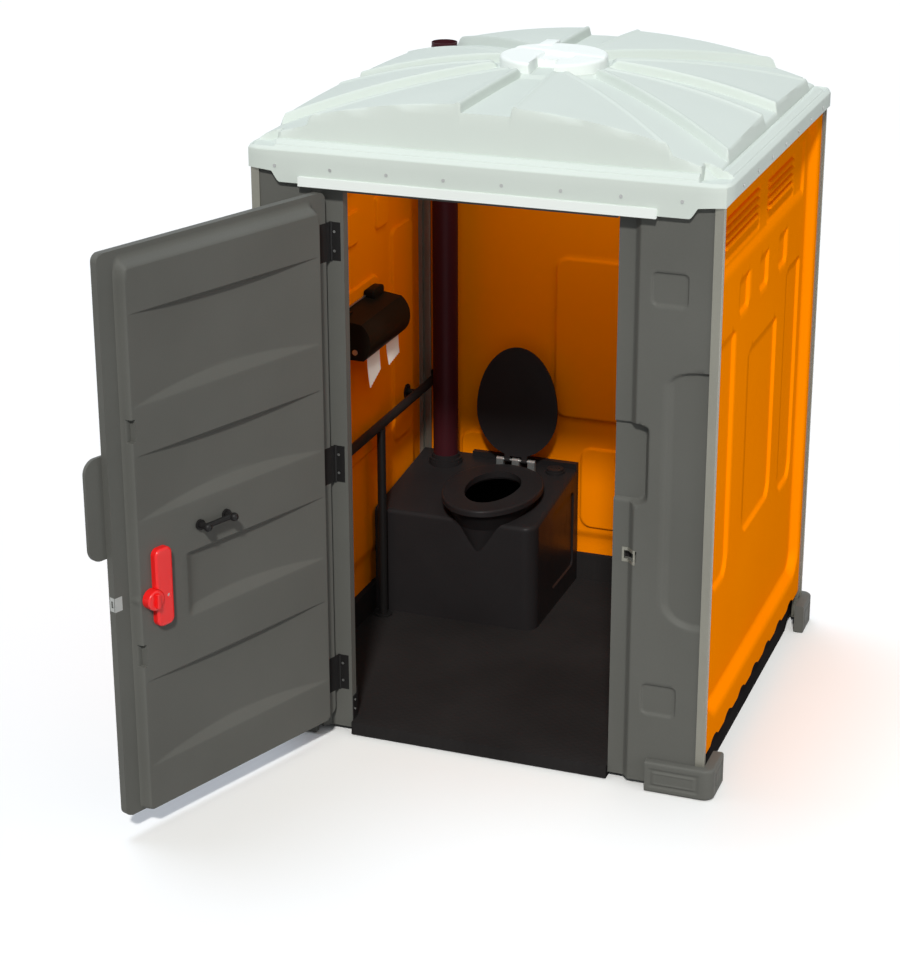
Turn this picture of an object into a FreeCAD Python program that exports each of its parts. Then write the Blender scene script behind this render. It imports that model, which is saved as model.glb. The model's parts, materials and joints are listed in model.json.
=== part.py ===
import FreeCAD, Part
import math
import os

# Portable toilet cabin, millimetres. +X is to the right seen from the front, +Y runs from the
# front to the back and +Z is up. The origin is on the ground, under the middle of the cabin.
# At rest the door stands open and the seat lid is up.

V = FreeCAD.Vector
X_AXIS = V(1, 0, 0)
Y_AXIS = V(0, 1, 0)
Z_AXIS = V(0, 0, 1)
TOUCH = 0.3          # gap between faces that move past or close onto each other
RUNNING = 0.05       # radial play of a turning fit
PROUD = 1.0          # how far a cutter runs out of the face that it cuts

# Cabin envelope, between the outer faces of the corner posts
CABIN_WIDTH = 1550.0
CABIN_DEPTH = 1460.0
SIDE_X = CABIN_WIDTH / 2
END_Y = CABIN_DEPTH / 2
WALL_TOP = 2036.0
SHEET = 5.0

# Base
SKID_HEIGHT = 42.0
SKID_WIDTH = 90.0
SKID_LENGTH = 1300.0
SKID_NOSE = 26.0
SKID_WALL = 10.0
DECK_THICKNESS = 8.0
FLOOR_Z = SKID_HEIGHT + DECK_THICKNESS
PAN_INSET = 30.0
KERB_TOP = 155.0
KERB_THICKNESS = 8.0
KERB_LIP = 6.0
PAN_FRONT_SETBACK = 68.0

# Corner posts
POST_BOTTOM = 20.0
POST_STRIP = 30.0
POST_SKIN = 5.0
POST_SIDE_LEG = 16.0
POST_CORE = 25.0

# Corner bumpers
BUMPER_TOP = 110.0
BUMPER_BOTTOM = 4.0
BUMPER_FRONT = 27.0
BUMPER_SIDE = 35.0
BUMPER_LEG_X = 227.0
BUMPER_LEG_Y = 150.0
BUMPER_ROUND = 34.0
BUMPER_EDGE = 6.0
BUMPER_PAD = 3.0

# Wall panels
WALL_INSET = 10.0        # side wall face behind the post's outer face
END_INSET = 4.0          # front and back wall faces behind the posts' outer faces
WALL_BOTTOM = 128.0
SCALLOP_PITCH = 187.0
SCALLOP_COUNT = 7
SCALLOP_RADIUS = 80.0
SCALLOP_RISE = 18.0
FIELD_DEPTH = 12.0
FIELD_DRAFT = 20.0
ZONE_DEPTH = 10.0
PANEL_DEPTH = 9.0
LOUVRE_SLOTS = 4
LOUVRE_PITCH = 28.0
LOUVRE_SLOT = 9.0
LOUVRE_HOOD = 18.0

# Doorway and jambs
OPENING_HALF = 443.0     # from the middle to the latch side of the doorway
OPENING_LEFT = 468.0     # from the middle to the hinge side of the doorway
JAMB_DEPTH = 62.0        # front face to the back of the boxed part
JAMB_PANEL = 24.0        # thickness of the plain part of the jamb
SEAT_DEPTH = 27.0        # door seat behind the outer plane of the cabin
STRIP_RIGHT = 494.0
STEP_RUN = 26.0
BRACKET_PLATE = 3.0
STRIKE_PLATE = 1.5
STRIKE_FLAT = 20.0
STRIKE_SLOPE = 30.0
STRIKE_HALF = 27.0
BRACKET_BOTTOM = 22.0
BRACKET_TOP = 136.0
HEADER_HEIGHT = 121.0
OPENING_TOP = WALL_TOP - HEADER_HEIGHT
SILL_HEIGHT = FLOOR_Z

# Door, drawn closed and then swung open about its pin
PIN_X = -512.0
PIN_Y = -END_Y + SEAT_DEPTH - 0.2
PIN_RADIUS = 2.5
DOOR_OPEN = 110.4
DOOR_START = 24.0
DOOR_WIDTH = 975.0
DOOR_BOTTOM = 80.0
DOOR_GAP = 3.0
DOOR_TOP = OPENING_TOP - DOOR_GAP
DOOR_HEIGHT = DOOR_TOP - DOOR_BOTTOM
FLANGE = 26.0
DOOR_SKIN = 4.0
DOOR_ROUND = 26.0
RAISED = 38.0
RAISED_SLOPE = 15.0
RAISED_FROM = 75.0
RAISED_MARGIN = 58.0     # from the raised panel to the door's free edge
RAISED_TO = DOOR_WIDTH - RAISED_MARGIN
RAISED_BOTTOM = DOOR_BOTTOM + 2 * PROUD
RAISED_TOP_MARGIN = 24.0
RAISED_TOP = DOOR_TOP - RAISED_TOP_MARGIN
SCOOP_DEPTH = 16.0
SCOOP_RUN = 27.0
SCOOP_MARGIN = 17.0
SCOOP_FROM = RAISED_FROM + SCOOP_MARGIN
SCOOP_TO = RAISED_TO - SCOOP_MARGIN
LATCH_MARGIN = 109.0     # from the knob's axis to the door's free edge
LATCH_S = DOOR_WIDTH - LATCH_MARGIN
SCOOP_STOP_GAP = 155.0
SCOOP_STOP = LATCH_S - SCOOP_STOP_GAP    # end of the band that stops short of the latch
SCOOP_END_ROUND = 34.0
SCOOPS = ((0.737, 0.896, SCOOP_TO), (0.538, 0.653, SCOOP_TO),      # shares of the door's height
          (0.332, 0.451, SCOOP_STOP), (0.087, 0.248, SCOOP_TO))
NOTCHES = ((0.678, 0.717), (0.276, 0.316))
NOTCH_DEPTH = 22.0

# Hinges
HINGE_MARGIN_TOP = 167.0
HINGE_MARGIN_BOTTOM = 146.0
HINGE_SHARE = 0.494      # the middle hinge, as a share of the door's height
HINGE_CENTRES = (DOOR_TOP - HINGE_MARGIN_TOP, DOOR_BOTTOM + HINGE_SHARE * DOOR_HEIGHT,
                 DOOR_BOTTOM + HINGE_MARGIN_BOTTOM)
HINGE_HEIGHT = 128.0
HINGE_LEAF = 33.0
DOOR_LEAF = 66.0
HINGE_PLATE = 3.0
KNUCKLE_RADIUS = 5.0
HINGE_SCREW_RADIUS = 4.5

# Latch
LATCH_Z = 808.0
KNOB_RADIUS = 33.0
KNOB_HEIGHT = 30.0
SPINDLE_RADIUS = 6.0
BOLT_HEIGHT = 22.0
BOLT_THICKNESS = 10.0
BOLT_TRAVEL = 58.0
BOLT_BACK = 76.0         # from the knob's axis to the bolt's inner end
BOLT_START = LATCH_S - BOLT_BACK
GRIP_BACK = 77.0
GRIP_FROM = LATCH_S - GRIP_BACK
GRIP_WIDTH = 68.0
GRIP_BOTTOM = LATCH_Z - 3 * KNOB_RADIUS
GRIP_TOP = LATCH_Z + 4.8 * KNOB_RADIUS
GRIP_HEIGHT = 24.0

# Seat, lid and tank
TANK_FRONT = 172.0
TANK_RIGHT = -107.0
TANK_WALL = 6.0
TANK_ROUND = 52.0
TANK_EDGE = 16.0
TANK_PANEL = 6.0
DECK_FRONT_Z = 460.0
DECK_BACK_Z = 516.0
SEAT_X = -328.0
SEAT_TOP = 541.0
SEAT_THICKNESS = 23.0
SEAT_HALF_WIDTH = 182.0
SEAT_FRONT_Y = 80.0
SEAT_BACK_Y = 577.0
HOLE_HALF_WIDTH = 101.0
HOLE_FRONT_Y = 164.0
HOLE_BACK_Y = 494.0
LID_THICKNESS = 12.0
LID_HALF_WIDTH = 161.0
LID_LENGTH = 448.0
LID_OPEN = 93.0
LID_PIN_Y = 604.0
LID_PIN_RADIUS = 5.0

CAP_X = -180.0
CAP_Y = 634.0
CAP_SEAT_Z = 516.0
CAP_NECK = 25.0

# Vent pipe
PIPE_FOOT = 518.0
PIPE_X = -617.0
PIPE_Y = 610.0
PIPE_RADIUS = 48.0
PIPE_WALL = 4.0
PIPE_TOP = WALL_TOP + 105.0
SPIGOT_LENGTH = 15.0
SPIGOT_STEP = 1.0

# Grab rail
RAIL_X = -690.0
RAIL_Z = 812.0
RAIL_RADIUS = 17.0
RAIL_FRONT_Y = -313.0
RAIL_LEG_Y = 130.0
RAIL_BRACKET_Y = 505.0
RAIL_FLANGE_RADIUS = 33.0
RAIL_FLANGE = 7.0

# Paper dispenser
DISP_FRONT_Y = -185.0
DISP_LENGTH = 380.0
DISP_BOTTOM = 1162.0
DISP_HEIGHT = 146.0
DISP_TOP = DISP_BOTTOM + DISP_HEIGHT
DISP_DEPTH = 142.0
DISP_WALL = 3.0
DISP_OPEN = 70.0
ROLL_RADIUS = 50.0
ROLL_WIDTH = 140.0
ROLL_CORE = 20.0
SPINDLE_R = 8.0
TAIL_REACH = 34.0

# Roof
SKIRT_OUT = 15.0
SKIRT_FRONT_DROP = 100.0
SKIRT_FRONT_Z = WALL_TOP - SKIRT_FRONT_DROP
SKIRT_SIDE_DROP = 47.0
SKIRT_SIDE_Z = WALL_TOP - SKIRT_SIDE_DROP
SKIRT_RISE = 14.0
SKIRT_TOP = WALL_TOP + SKIRT_RISE
SKIRT_ROUND = 38.0
ROOF_SHEET = 5.0
CROWN_RISE = 198.0
CROWN_Z = WALL_TOP + CROWN_RISE
CROWN_DROP_SIDE = 106.0      # drop of the crown at CROWN_REACH to the side
CROWN_DROP_END = 20.0        # drop of the crown at CROWN_REACH to the front or back
CROWN_REACH = 700.0
CHANNEL_DEPTH = 20.0
CHANNEL_OUTER = 168.0
CHANNEL_INNER = 104.0
POCKET = 84.0
POCKET_FLOOR = WALL_TOP + ROOF_SHEET
RING_RADIUS = 190.0
RING_HOLE = 138.0
RING_RISE = 22.0
RING_TOP = CROWN_Z + RING_RISE
RIVET_PITCH = 190.0
RIVET_DROP = 48.0
RIVET_Z = WALL_TOP - RIVET_DROP
RIVET_RADIUS = 2.5
RIVET_HEAD = 5.5
DRIP_FROM = -600.0
DRIP_TO = 570.0

WALL_X = SIDE_X - WALL_INSET
WALL_Y = END_Y - END_INSET
PAN_X = SIDE_X - PAN_INSET
PAN_BACK = WALL_Y - SHEET - (WALL_X - SHEET - PAN_X)
CORE_X = SIDE_X - POST_STRIP
CORE_Y = END_Y - POST_STRIP
DOOR_FACE = PIN_Y - 0.2                      # inner face of the closed door's flange
FACE_OFFSET = DOOR_FACE + RAISED             # face of the raised inner panel
DOOR_OUTER = DOOR_FACE - FLANGE
LID_PIN_Z = SEAT_TOP + TOUCH + LID_THICKNESS / 2


def box(x0, x1, y0, y1, z0, z1):
    """A box between two corners."""
    return Part.makeBox(x1 - x0, y1 - y0, z1 - z0, V(x0, y0, z0))


def rod(start, axis, radius, length):
    """A cylinder from a point along an axis."""
    return Part.makeCylinder(radius, length, start, axis)


def tube(start, axis, radius, bore, length):
    """A cylinder with a bore through it."""
    return rod(start, axis, radius, length).cut(rod(start, axis, bore, length))


def union(shapes):
    """All the shapes as one solid, with seams between flush faces removed."""
    first = shapes[0]
    if len(shapes) == 1:
        return first
    return first.multiFuse(shapes[1:]).removeSplitter()


def prism(points, z0, z1):
    """A plan outline carried up from z0 to z1."""
    corners = [V(x, y, z0) for x, y in points]
    wire = Part.makePolygon(corners + [corners[0]])
    return Part.Face(wire).extrude(V(0, 0, z1 - z0))


def side_prism(points, x0, x1):
    """An outline in Y and Z carried along X."""
    corners = [V(x0, y, z) for y, z in points]
    wire = Part.makePolygon(corners + [corners[0]])
    return Part.Face(wire).extrude(V(x1 - x0, 0, 0))


def round_rect(u0, u1, v0, v1, radius, w):
    """A rectangle with round corners in the plane w."""
    r = max(0.5, min(radius, (u1 - u0) / 2 - 0.5, (v1 - v0) / 2 - 0.5))
    k = r * (1 - math.sqrt(0.5))
    edges = []
    corners = ((u1, v0, -1, 1), (u1, v1, -1, -1), (u0, v1, 1, -1), (u0, v0, 1, 1))
    starts = []
    for index, (u, v, su, sv) in enumerate(corners):
        along_u = V(u + su * r, v, w)
        along_v = V(u, v + sv * r, w)
        middle = V(u + su * k, v + sv * k, w)
        first, last = (along_u, along_v) if index % 2 == 0 else (along_v, along_u)
        edges.append(Part.Arc(first, middle, last).toShape())
        starts.append((first, last))
    lines = []
    for index in range(4):
        lines.append(Part.makeLine(starts[index - 1][1], starts[index][0]))
    ordered = []
    for line, arc in zip(lines, edges):
        ordered += [line, arc]
    return Part.Wire(ordered)


def tray_cut(u0, u1, v0, v1, top, depth, draft, radius, grow=0.0):
    """A recess's volume: a round rectangle whose sides lean in by draft over its depth."""
    slope = draft / depth
    rise = PROUD
    floor = depth
    if grow:
        rise = -grow / 2
        floor = depth + grow
    low = grow - slope * depth
    high = grow + slope * rise
    upper = round_rect(u0 - high, u1 + high, v0 - high, v1 + high, radius + high, top + rise)
    lower = round_rect(u0 - low, u1 + low, v0 - low, v1 + low, radius + low, top - floor)
    return Part.makeLoft([lower, upper], True, True)


def press(sheet, u0, u1, v0, v1, top, depth, draft, radius, thickness=SHEET):
    """Press a recess into a sheet, which keeps its thickness behind it."""
    behind = tray_cut(u0, u1, v0, v1, top, depth, draft, radius, thickness)
    return sheet.fuse(behind).cut(tray_cut(u0, u1, v0, v1, top, depth, draft, radius))


def place(shape, u_axis, origin):
    """Stand a local shape up: u along u_axis, v along +Z and w along u_axis x Z."""
    w_axis = u_axis.cross(Z_AXIS)
    matrix = FreeCAD.Matrix(u_axis.x, 0, w_axis.x, origin.x,
                            u_axis.y, 0, w_axis.y, origin.y,
                            0, 1, 0, origin.z,
                            0, 0, 0, 1)
    return placed(shape, matrix)


def placed(shape, matrix):
    """A copy of the shape under a rigid matrix."""
    copy = shape.copy()
    copy.Placement = FreeCAD.Placement(matrix)
    return copy


def mirror_x(shape):
    """The shape on the other side of the cabin."""
    return shape.mirror(V(0, 0, 0), X_AXIS)


def mirror_y(shape):
    """The shape at the other end of the cabin."""
    return shape.mirror(V(0, 0, 0), Y_AXIS)


def swing(shape):
    """Turn a piece of the closed door to where it stands open."""
    copy = shape.copy()
    copy.rotate(V(PIN_X, PIN_Y, 0), Z_AXIS, -DOOR_OPEN)
    return copy


def save(name, shape):
    """Write one node, as one solid or a group of solids."""
    solids = shape.Solids
    result = solids[0] if len(solids) == 1 else Part.makeCompound(solids)
    if not result.isValid():
        print("not valid:", name)
    result.exportStep("parts/" + name + ".step")


def door_box(s0, s1, y0, y1, z0, z1):
    """A box on the closed door, with s counted from the pin."""
    return box(PIN_X + s0, PIN_X + s1, y0, y1, z0, z1)


def vertical_round(shape, radius, test):
    """Round the vertical edges whose x and y pass a test."""
    edges = []
    for edge in shape.Edges:
        ends = edge.Vertexes
        if len(ends) != 2:
            continue
        a, b = ends[0].Point, ends[1].Point
        upright = abs(a.x - b.x) < 1e-6 and abs(a.y - b.y) < 1e-6
        if upright and test(a.x, a.y):
            edges.append(edge)
    return shape.makeFillet(radius, edges) if edges else shape


def skid():
    """A runner along Y with its nose and tail cut up at an angle."""
    half = SKID_LENGTH / 2
    low = half - 1.6 * SKID_NOSE
    points = [(-low, 0), (low, 0), (half, SKID_NOSE), (half, SKID_HEIGHT),
              (-half, SKID_HEIGHT), (-half, SKID_NOSE)]
    solid = side_prism(points, -SKID_WIDTH / 2, SKID_WIDTH / 2)
    wall = SKID_WALL
    end = low - 2 * wall
    trough = box(-SKID_WIDTH / 2 + wall, SKID_WIDTH / 2 - wall, -end, end, wall, SKID_HEIGHT + PROUD)
    for y in (-end / 3, end / 3):
        trough = trough.cut(box(-SKID_WIDTH, SKID_WIDTH, y - wall / 2, y + wall / 2, 0, 2 * SKID_HEIGHT))
    return solid.cut(trough)


def base():
    """Runners and the floor pan with its kerb."""
    runner = skid()
    offset = PAN_X - SKID_WIDTH / 2 - 4
    runners = []
    for x in (-offset, 0.0, offset):
        piece = runner.copy()
        piece.translate(V(x, 0, 0))
        runners.append(piece)
    save("floor_skids", Part.makeCompound(runners))
    front = -END_Y + PAN_FRONT_SETBACK
    pan = box(-PAN_X, PAN_X, front, PAN_BACK, SKID_HEIGHT, KERB_TOP)
    hollow = box(-PAN_X + KERB_THICKNESS, PAN_X - KERB_THICKNESS, front + KERB_THICKNESS,
                 PAN_BACK - KERB_THICKNESS, FLOOR_Z, KERB_TOP + PROUD)
    reach = WALL_X - SHEET
    lip = box(-reach, reach, front, WALL_Y - SHEET, KERB_TOP - KERB_LIP, KERB_TOP)
    doorway = box(-OPENING_LEFT, OPENING_HALF, front - PROUD, front + KERB_THICKNESS + PROUD,
                  FLOOR_Z, KERB_TOP + PROUD)
    pan = pan.fuse(lip).cut(hollow).cut(doorway)
    for side in (-1, 1):
        x = side * (CORE_X + SIDE_X) / 2
        width = (SIDE_X - CORE_X) / 2
        pan = pan.cut(box(x - width, x + width, CORE_Y, END_Y, 0, WALL_TOP))
    save("floor_pan", pan.removeSplitter())
    sill = box(-OPENING_LEFT + BRACKET_PLATE + TOUCH, OPENING_HALF, -END_Y + 6, front,
               SKID_HEIGHT / 8, SILL_HEIGHT)
    save("door_sill", sill)


def posts():
    """Four corner extrusions: an outer strip, a short side leg and a square core."""
    def post():
        strip = box(CORE_X, SIDE_X, -END_Y, -END_Y + POST_SKIN, POST_BOTTOM, WALL_TOP)
        leg = box(SIDE_X - POST_SKIN, SIDE_X, -END_Y, -END_Y + POST_SIDE_LEG, POST_BOTTOM, WALL_TOP)
        core = box(CORE_X, CORE_X + POST_CORE, -END_Y + POST_SKIN, -CORE_Y, POST_BOTTOM, WALL_TOP)
        bore = box(CORE_X + 3, CORE_X + POST_CORE - 3, -END_Y + POST_SKIN + 3, -CORE_Y - 3,
                   POST_BOTTOM - 1, WALL_TOP + 1)
        shape = union([strip, leg, core]).cut(bore)
        return vertical_round(shape, 4.0, lambda x, y: abs(x - SIDE_X) < 1e-6
                              and abs(y + END_Y) < 1e-6)
    front = post()
    save("corner_post_front_right", front)
    save("corner_post_front_left", mirror_x(front))
    save("corner_post_back_right", mirror_y(front))
    save("corner_post_back_left", mirror_x(mirror_y(front)))


def bumpers():
    """Four moulded blocks wrapped round the feet of the posts."""
    right = SIDE_X + BUMPER_SIDE
    front = -END_Y - BUMPER_FRONT
    left = right - BUMPER_LEG_X
    back = front + BUMPER_LEG_Y
    block = box(left, right, front, back, BUMPER_BOTTOM, BUMPER_TOP)
    block = block.cut(box(left - 1, SIDE_X, -END_Y, back + 1, 0, WALL_TOP))
    block = vertical_round(block, BUMPER_ROUND, lambda x, y: abs(x - right) < 1e-6
                           and abs(y - front) < 1e-6)
    rim = []
    for edge in block.Edges:
        zs = [vertex.Z for vertex in edge.Vertexes]
        inner = all(vertex.X < SIDE_X + 1 and vertex.Y > -END_Y - 1 for vertex in edge.Vertexes)
        if zs and min(zs) > BUMPER_TOP - 1e-6 and not inner:
            rim.append(edge)
    block = block.makeFillet(BUMPER_EDGE, rim)
    pad = box(left + 14, right - BUMPER_ROUND - 8, front - BUMPER_PAD, front, 22, 84)
    side = box(right, right + BUMPER_PAD, front + BUMPER_ROUND + 8, back - 12, 22, 84)
    block = union([block, pad, side])
    save("corner_bumper_front_right", block)
    save("corner_bumper_front_left", mirror_x(block))
    save("corner_bumper_back_right", mirror_y(block))
    save("corner_bumper_back_left", mirror_x(mirror_y(block)))


def side_wall():
    """A side wall sheet, drawn from outside: u towards the back, v up, w outwards."""
    half = CORE_Y
    sheet = Part.makeBox(2 * half, WALL_TOP - WALL_BOTTOM, SHEET, V(-half, WALL_BOTTOM, -SHEET))
    first = -(SCALLOP_COUNT - 1) / 2 * SCALLOP_PITCH
    low = WALL_BOTTOM + SCALLOP_RISE - SCALLOP_RADIUS
    for index in range(SCALLOP_COUNT):
        u = first + index * SCALLOP_PITCH
        sheet = sheet.cut(rod(V(u, low, -2 * SHEET), Z_AXIS, SCALLOP_RADIUS, 4 * SHEET))
    sheet = press(sheet, -655, 618, 262, WALL_TOP - 88, 0, FIELD_DEPTH, FIELD_DRAFT, 110)
    level = -FIELD_DEPTH
    sheet = press(sheet, -567, 590, WALL_TOP - 342, WALL_TOP - 144, level, ZONE_DEPTH, 14, 20)
    for u0, u1, v0, v1 in ((-557, -353, 634, 1488), (-153, 249, 684, 1356), (378, 585, 634, 1480)):
        sheet = press(sheet, u0, u1, v0, v1, level, PANEL_DEPTH, 12, 55)
    for u0, u1 in ((-317, -183), (-45, 83), (229, 359)):
        sheet = press(sheet, u0, u1, 1508, 1638, level, PANEL_DEPTH, 12, 22)
    level -= ZONE_DEPTH
    for u0, u1, top in ((-512, -54, WALL_TOP - 174), (80, 448, WALL_TOP - 188)):
        for index in range(LOUVRE_SLOTS):
            v = top - index * LOUVRE_PITCH
            hood = side_prism([(level, v + 12), (level + LOUVRE_HOOD, v), (level, v)], u0, u1)
            hood = placed(hood, FreeCAD.Matrix(1, 0, 0, 0, 0, 0, 1, 0, 0, 1, 0, 0, 0, 0, 0, 1))
            slot = Part.makeBox(u1 - u0 - 24, LOUVRE_SLOT, 4 * SHEET,
                                V(u0 + 12, v - LOUVRE_SLOT, level - 3 * SHEET))
            sheet = sheet.fuse(hood).cut(slot)
    return sheet


def back_wall():
    """The back wall sheet, drawn from outside: u towards -X, v up, w outwards."""
    half = CORE_X
    sheet = Part.makeBox(2 * half, WALL_TOP - WALL_BOTTOM, SHEET, V(-half, WALL_BOTTOM, -SHEET))
    sheet = press(sheet, -640, 640, 214, WALL_TOP - 88, 0, FIELD_DEPTH, 40, 90)
    level = -FIELD_DEPTH
    for u0, u1, v0, v1 in ((-590, 213, 706, 1345), (330, 590, 264, 609), (-590, 104, 264, 600)):
        sheet = press(sheet, u0, u1, v0, v1, level, PANEL_DEPTH, 12, 48)
    return sheet


def walls():
    """Two side walls and the back wall."""
    right = place(side_wall(), Y_AXIS, V(WALL_X, 0, 0)).Solids[0]
    save("wall_right", right)
    save("wall_left", mirror_x(right))
    save("wall_back", place(back_wall(), V(-1, 0, 0), V(0, WALL_Y, 0)))


def jamb_outline(inner, seat_end, step_end):
    """Plan outline of the right jamb, from the doorway's inner corner round to the back."""
    face = -WALL_Y
    seat = -END_Y + SEAT_DEPTH
    back = -END_Y + JAMB_DEPTH
    points = [(inner, back), (inner, seat), (seat_end, seat)]
    points += [(step_end, face), (CORE_X, face), (CORE_X, face + JAMB_PANEL),
               (step_end + 60, face + JAMB_PANEL), (step_end + 40, back)]
    return points


def hollow_prism(points, thickness, z0, z1):
    """An outline carried up as a tube with an even wall."""
    wire = Part.makePolygon([V(x, y, z0) for x, y in points + [points[0]]])
    inner = Part.Face(wire).makeOffset2D(-thickness, 2, False, False, False)
    height = V(0, 0, z1 - z0)
    return Part.Face(wire).extrude(height).cut(inner.extrude(height))


def jambs():
    """The two front jambs, the header and their fittings; gives the foot bracket's screws."""
    top = DOOR_TOP + 6
    bottom = POST_BOTTOM
    face = -WALL_Y
    seat = -END_Y + SEAT_DEPTH
    back = -END_Y + JAMB_DEPTH

    right = hollow_prism(jamb_outline(OPENING_HALF, STRIP_RIGHT, STRIP_RIGHT + STEP_RUN),
                         SHEET, bottom, WALL_TOP)
    cap = box(OPENING_HALF, STRIP_RIGHT + STEP_RUN + 10, face, back, top, WALL_TOP)
    right = union([right, cap])
    local = placed(right, front_matrix().inverse())
    for v0 in (1650.0, 266.0):
        local = press(local, 554, 672, v0, v0 + 108, -face, 5, 3, 16)
    local = press(local, 598, 800, 580, 1450, -face, 10, 12, 84)
    pull = tray_cut(420, 562, 984, 1262, -face, SEAT_DEPTH + 8, 22, 34)
    behind = tray_cut(420, 562, 984, 1262, -face, SEAT_DEPTH + 8, 22, 34, SHEET)
    limit = Part.makeBox(CORE_X - OPENING_HALF, WALL_TOP, 80, V(OPENING_HALF, 0, -face - 80))
    local = local.fuse(behind.common(limit)).cut(pull)
    local = local.cut(Part.makeBox(STRIP_RIGHT - OPENING_HALF + PROUD, 2 * SEAT_DEPTH + 300, SEAT_DEPTH,
                                   V(OPENING_HALF - PROUD, 960, -seat)))
    local = local.common(Part.makeBox(CORE_X - OPENING_HALF, WALL_TOP, 200,
                                      V(OPENING_HALF, bottom, -face - 200)))
    right = placed(local, front_matrix())
    bolt_y = DOOR_FACE - FLANGE / 2
    hole = box(OPENING_HALF + 8, STRIP_RIGHT + 80, bolt_y - 7, bolt_y + 7, LATCH_Z - 13, LATCH_Z + 13)
    right = right.cut(hole).removeSplitter()
    save("jamb_right", right)

    rise = SEAT_DEPTH - END_INSET
    ux, uy = STEP_RUN / math.hypot(STEP_RUN, rise), -rise / math.hypot(STEP_RUN, rise)
    t = STRIKE_PLATE
    a = (STRIP_RIGHT - STRIKE_FLAT, seat)
    b = (STRIP_RIGHT, seat)
    c = (STRIP_RIGHT + STRIKE_SLOPE * ux, seat + STRIKE_SLOPE * uy)
    bend = t * math.tan(math.atan2(-uy, ux) / 2)
    plate = prism([a, b, c, (c[0] + t * uy, c[1] - t * ux), (b[0] - bend, b[1] - t), (a[0], a[1] - t)],
                  LATCH_Z - STRIKE_HALF, LATCH_Z + STRIKE_HALF)
    save("strike_plate", plate.cut(hole))

    left_end = -PIN_X + HINGE_LEAF
    left = hollow_prism(jamb_outline(OPENING_LEFT, left_end, left_end + 21),
                        SHEET, bottom, WALL_TOP)
    cap = box(OPENING_LEFT, left_end + 31, face, back, top, WALL_TOP)
    left = mirror_x(union([left, cap]))
    left = left.cut(hinge_mortises())
    local = placed(left, front_matrix().inverse())
    for v0 in (1650.0, 266.0):
        local = press(local, -704, -592, v0, v0 + 108, -face, 5, 3, 16)
    save("jamb_left", placed(local, front_matrix()).removeSplitter())

    header = box(-OPENING_LEFT, OPENING_HALF, face, back, OPENING_TOP, WALL_TOP)
    inner = box(-OPENING_LEFT - 1, OPENING_HALF + 1, face + SHEET, back - SHEET,
                OPENING_TOP + SHEET, WALL_TOP - SHEET)
    save("door_header", header.cut(inner))

    low, high = BRACKET_BOTTOM, BRACKET_TOP
    bracket = box(-OPENING_LEFT, -OPENING_LEFT + BRACKET_PLATE, seat + 2, back - 2, low, high)
    bracket = vertical_round(bracket, 1.0, lambda x, y: x > -OPENING_LEFT + 1)
    save("foot_bracket", bracket)
    return [rod(V(-OPENING_LEFT + BRACKET_PLATE, (seat + back) / 2, z), X_AXIS, 4, 2)
            for z in (high - 52, high - 18)]


def front_matrix():
    """Local u, v, w to the front of the cabin: u along +X, v up, w towards -Y."""
    return FreeCAD.Matrix(1, 0, 0, 0, 0, 0, -1, 0, 0, 1, 0, 0, 0, 0, 0, 1)


def hinge_mortises():
    """Seats cut for the hinge leaves in the left jamb."""
    seat = -END_Y + SEAT_DEPTH
    cutters = []
    for z in HINGE_CENTRES:
        low = z - HINGE_HEIGHT / 2
        cutters.append(box(PIN_X, PIN_X + HINGE_LEAF, seat - 1, seat + HINGE_PLATE, low,
                           low + HINGE_HEIGHT))
        cutters.append(rod(V(PIN_X, PIN_Y, low - PROUD), Z_AXIS, KNUCKLE_RADIUS + PROUD,
                           HINGE_HEIGHT + 2 * PROUD))
    return Part.makeCompound(cutters)


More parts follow.
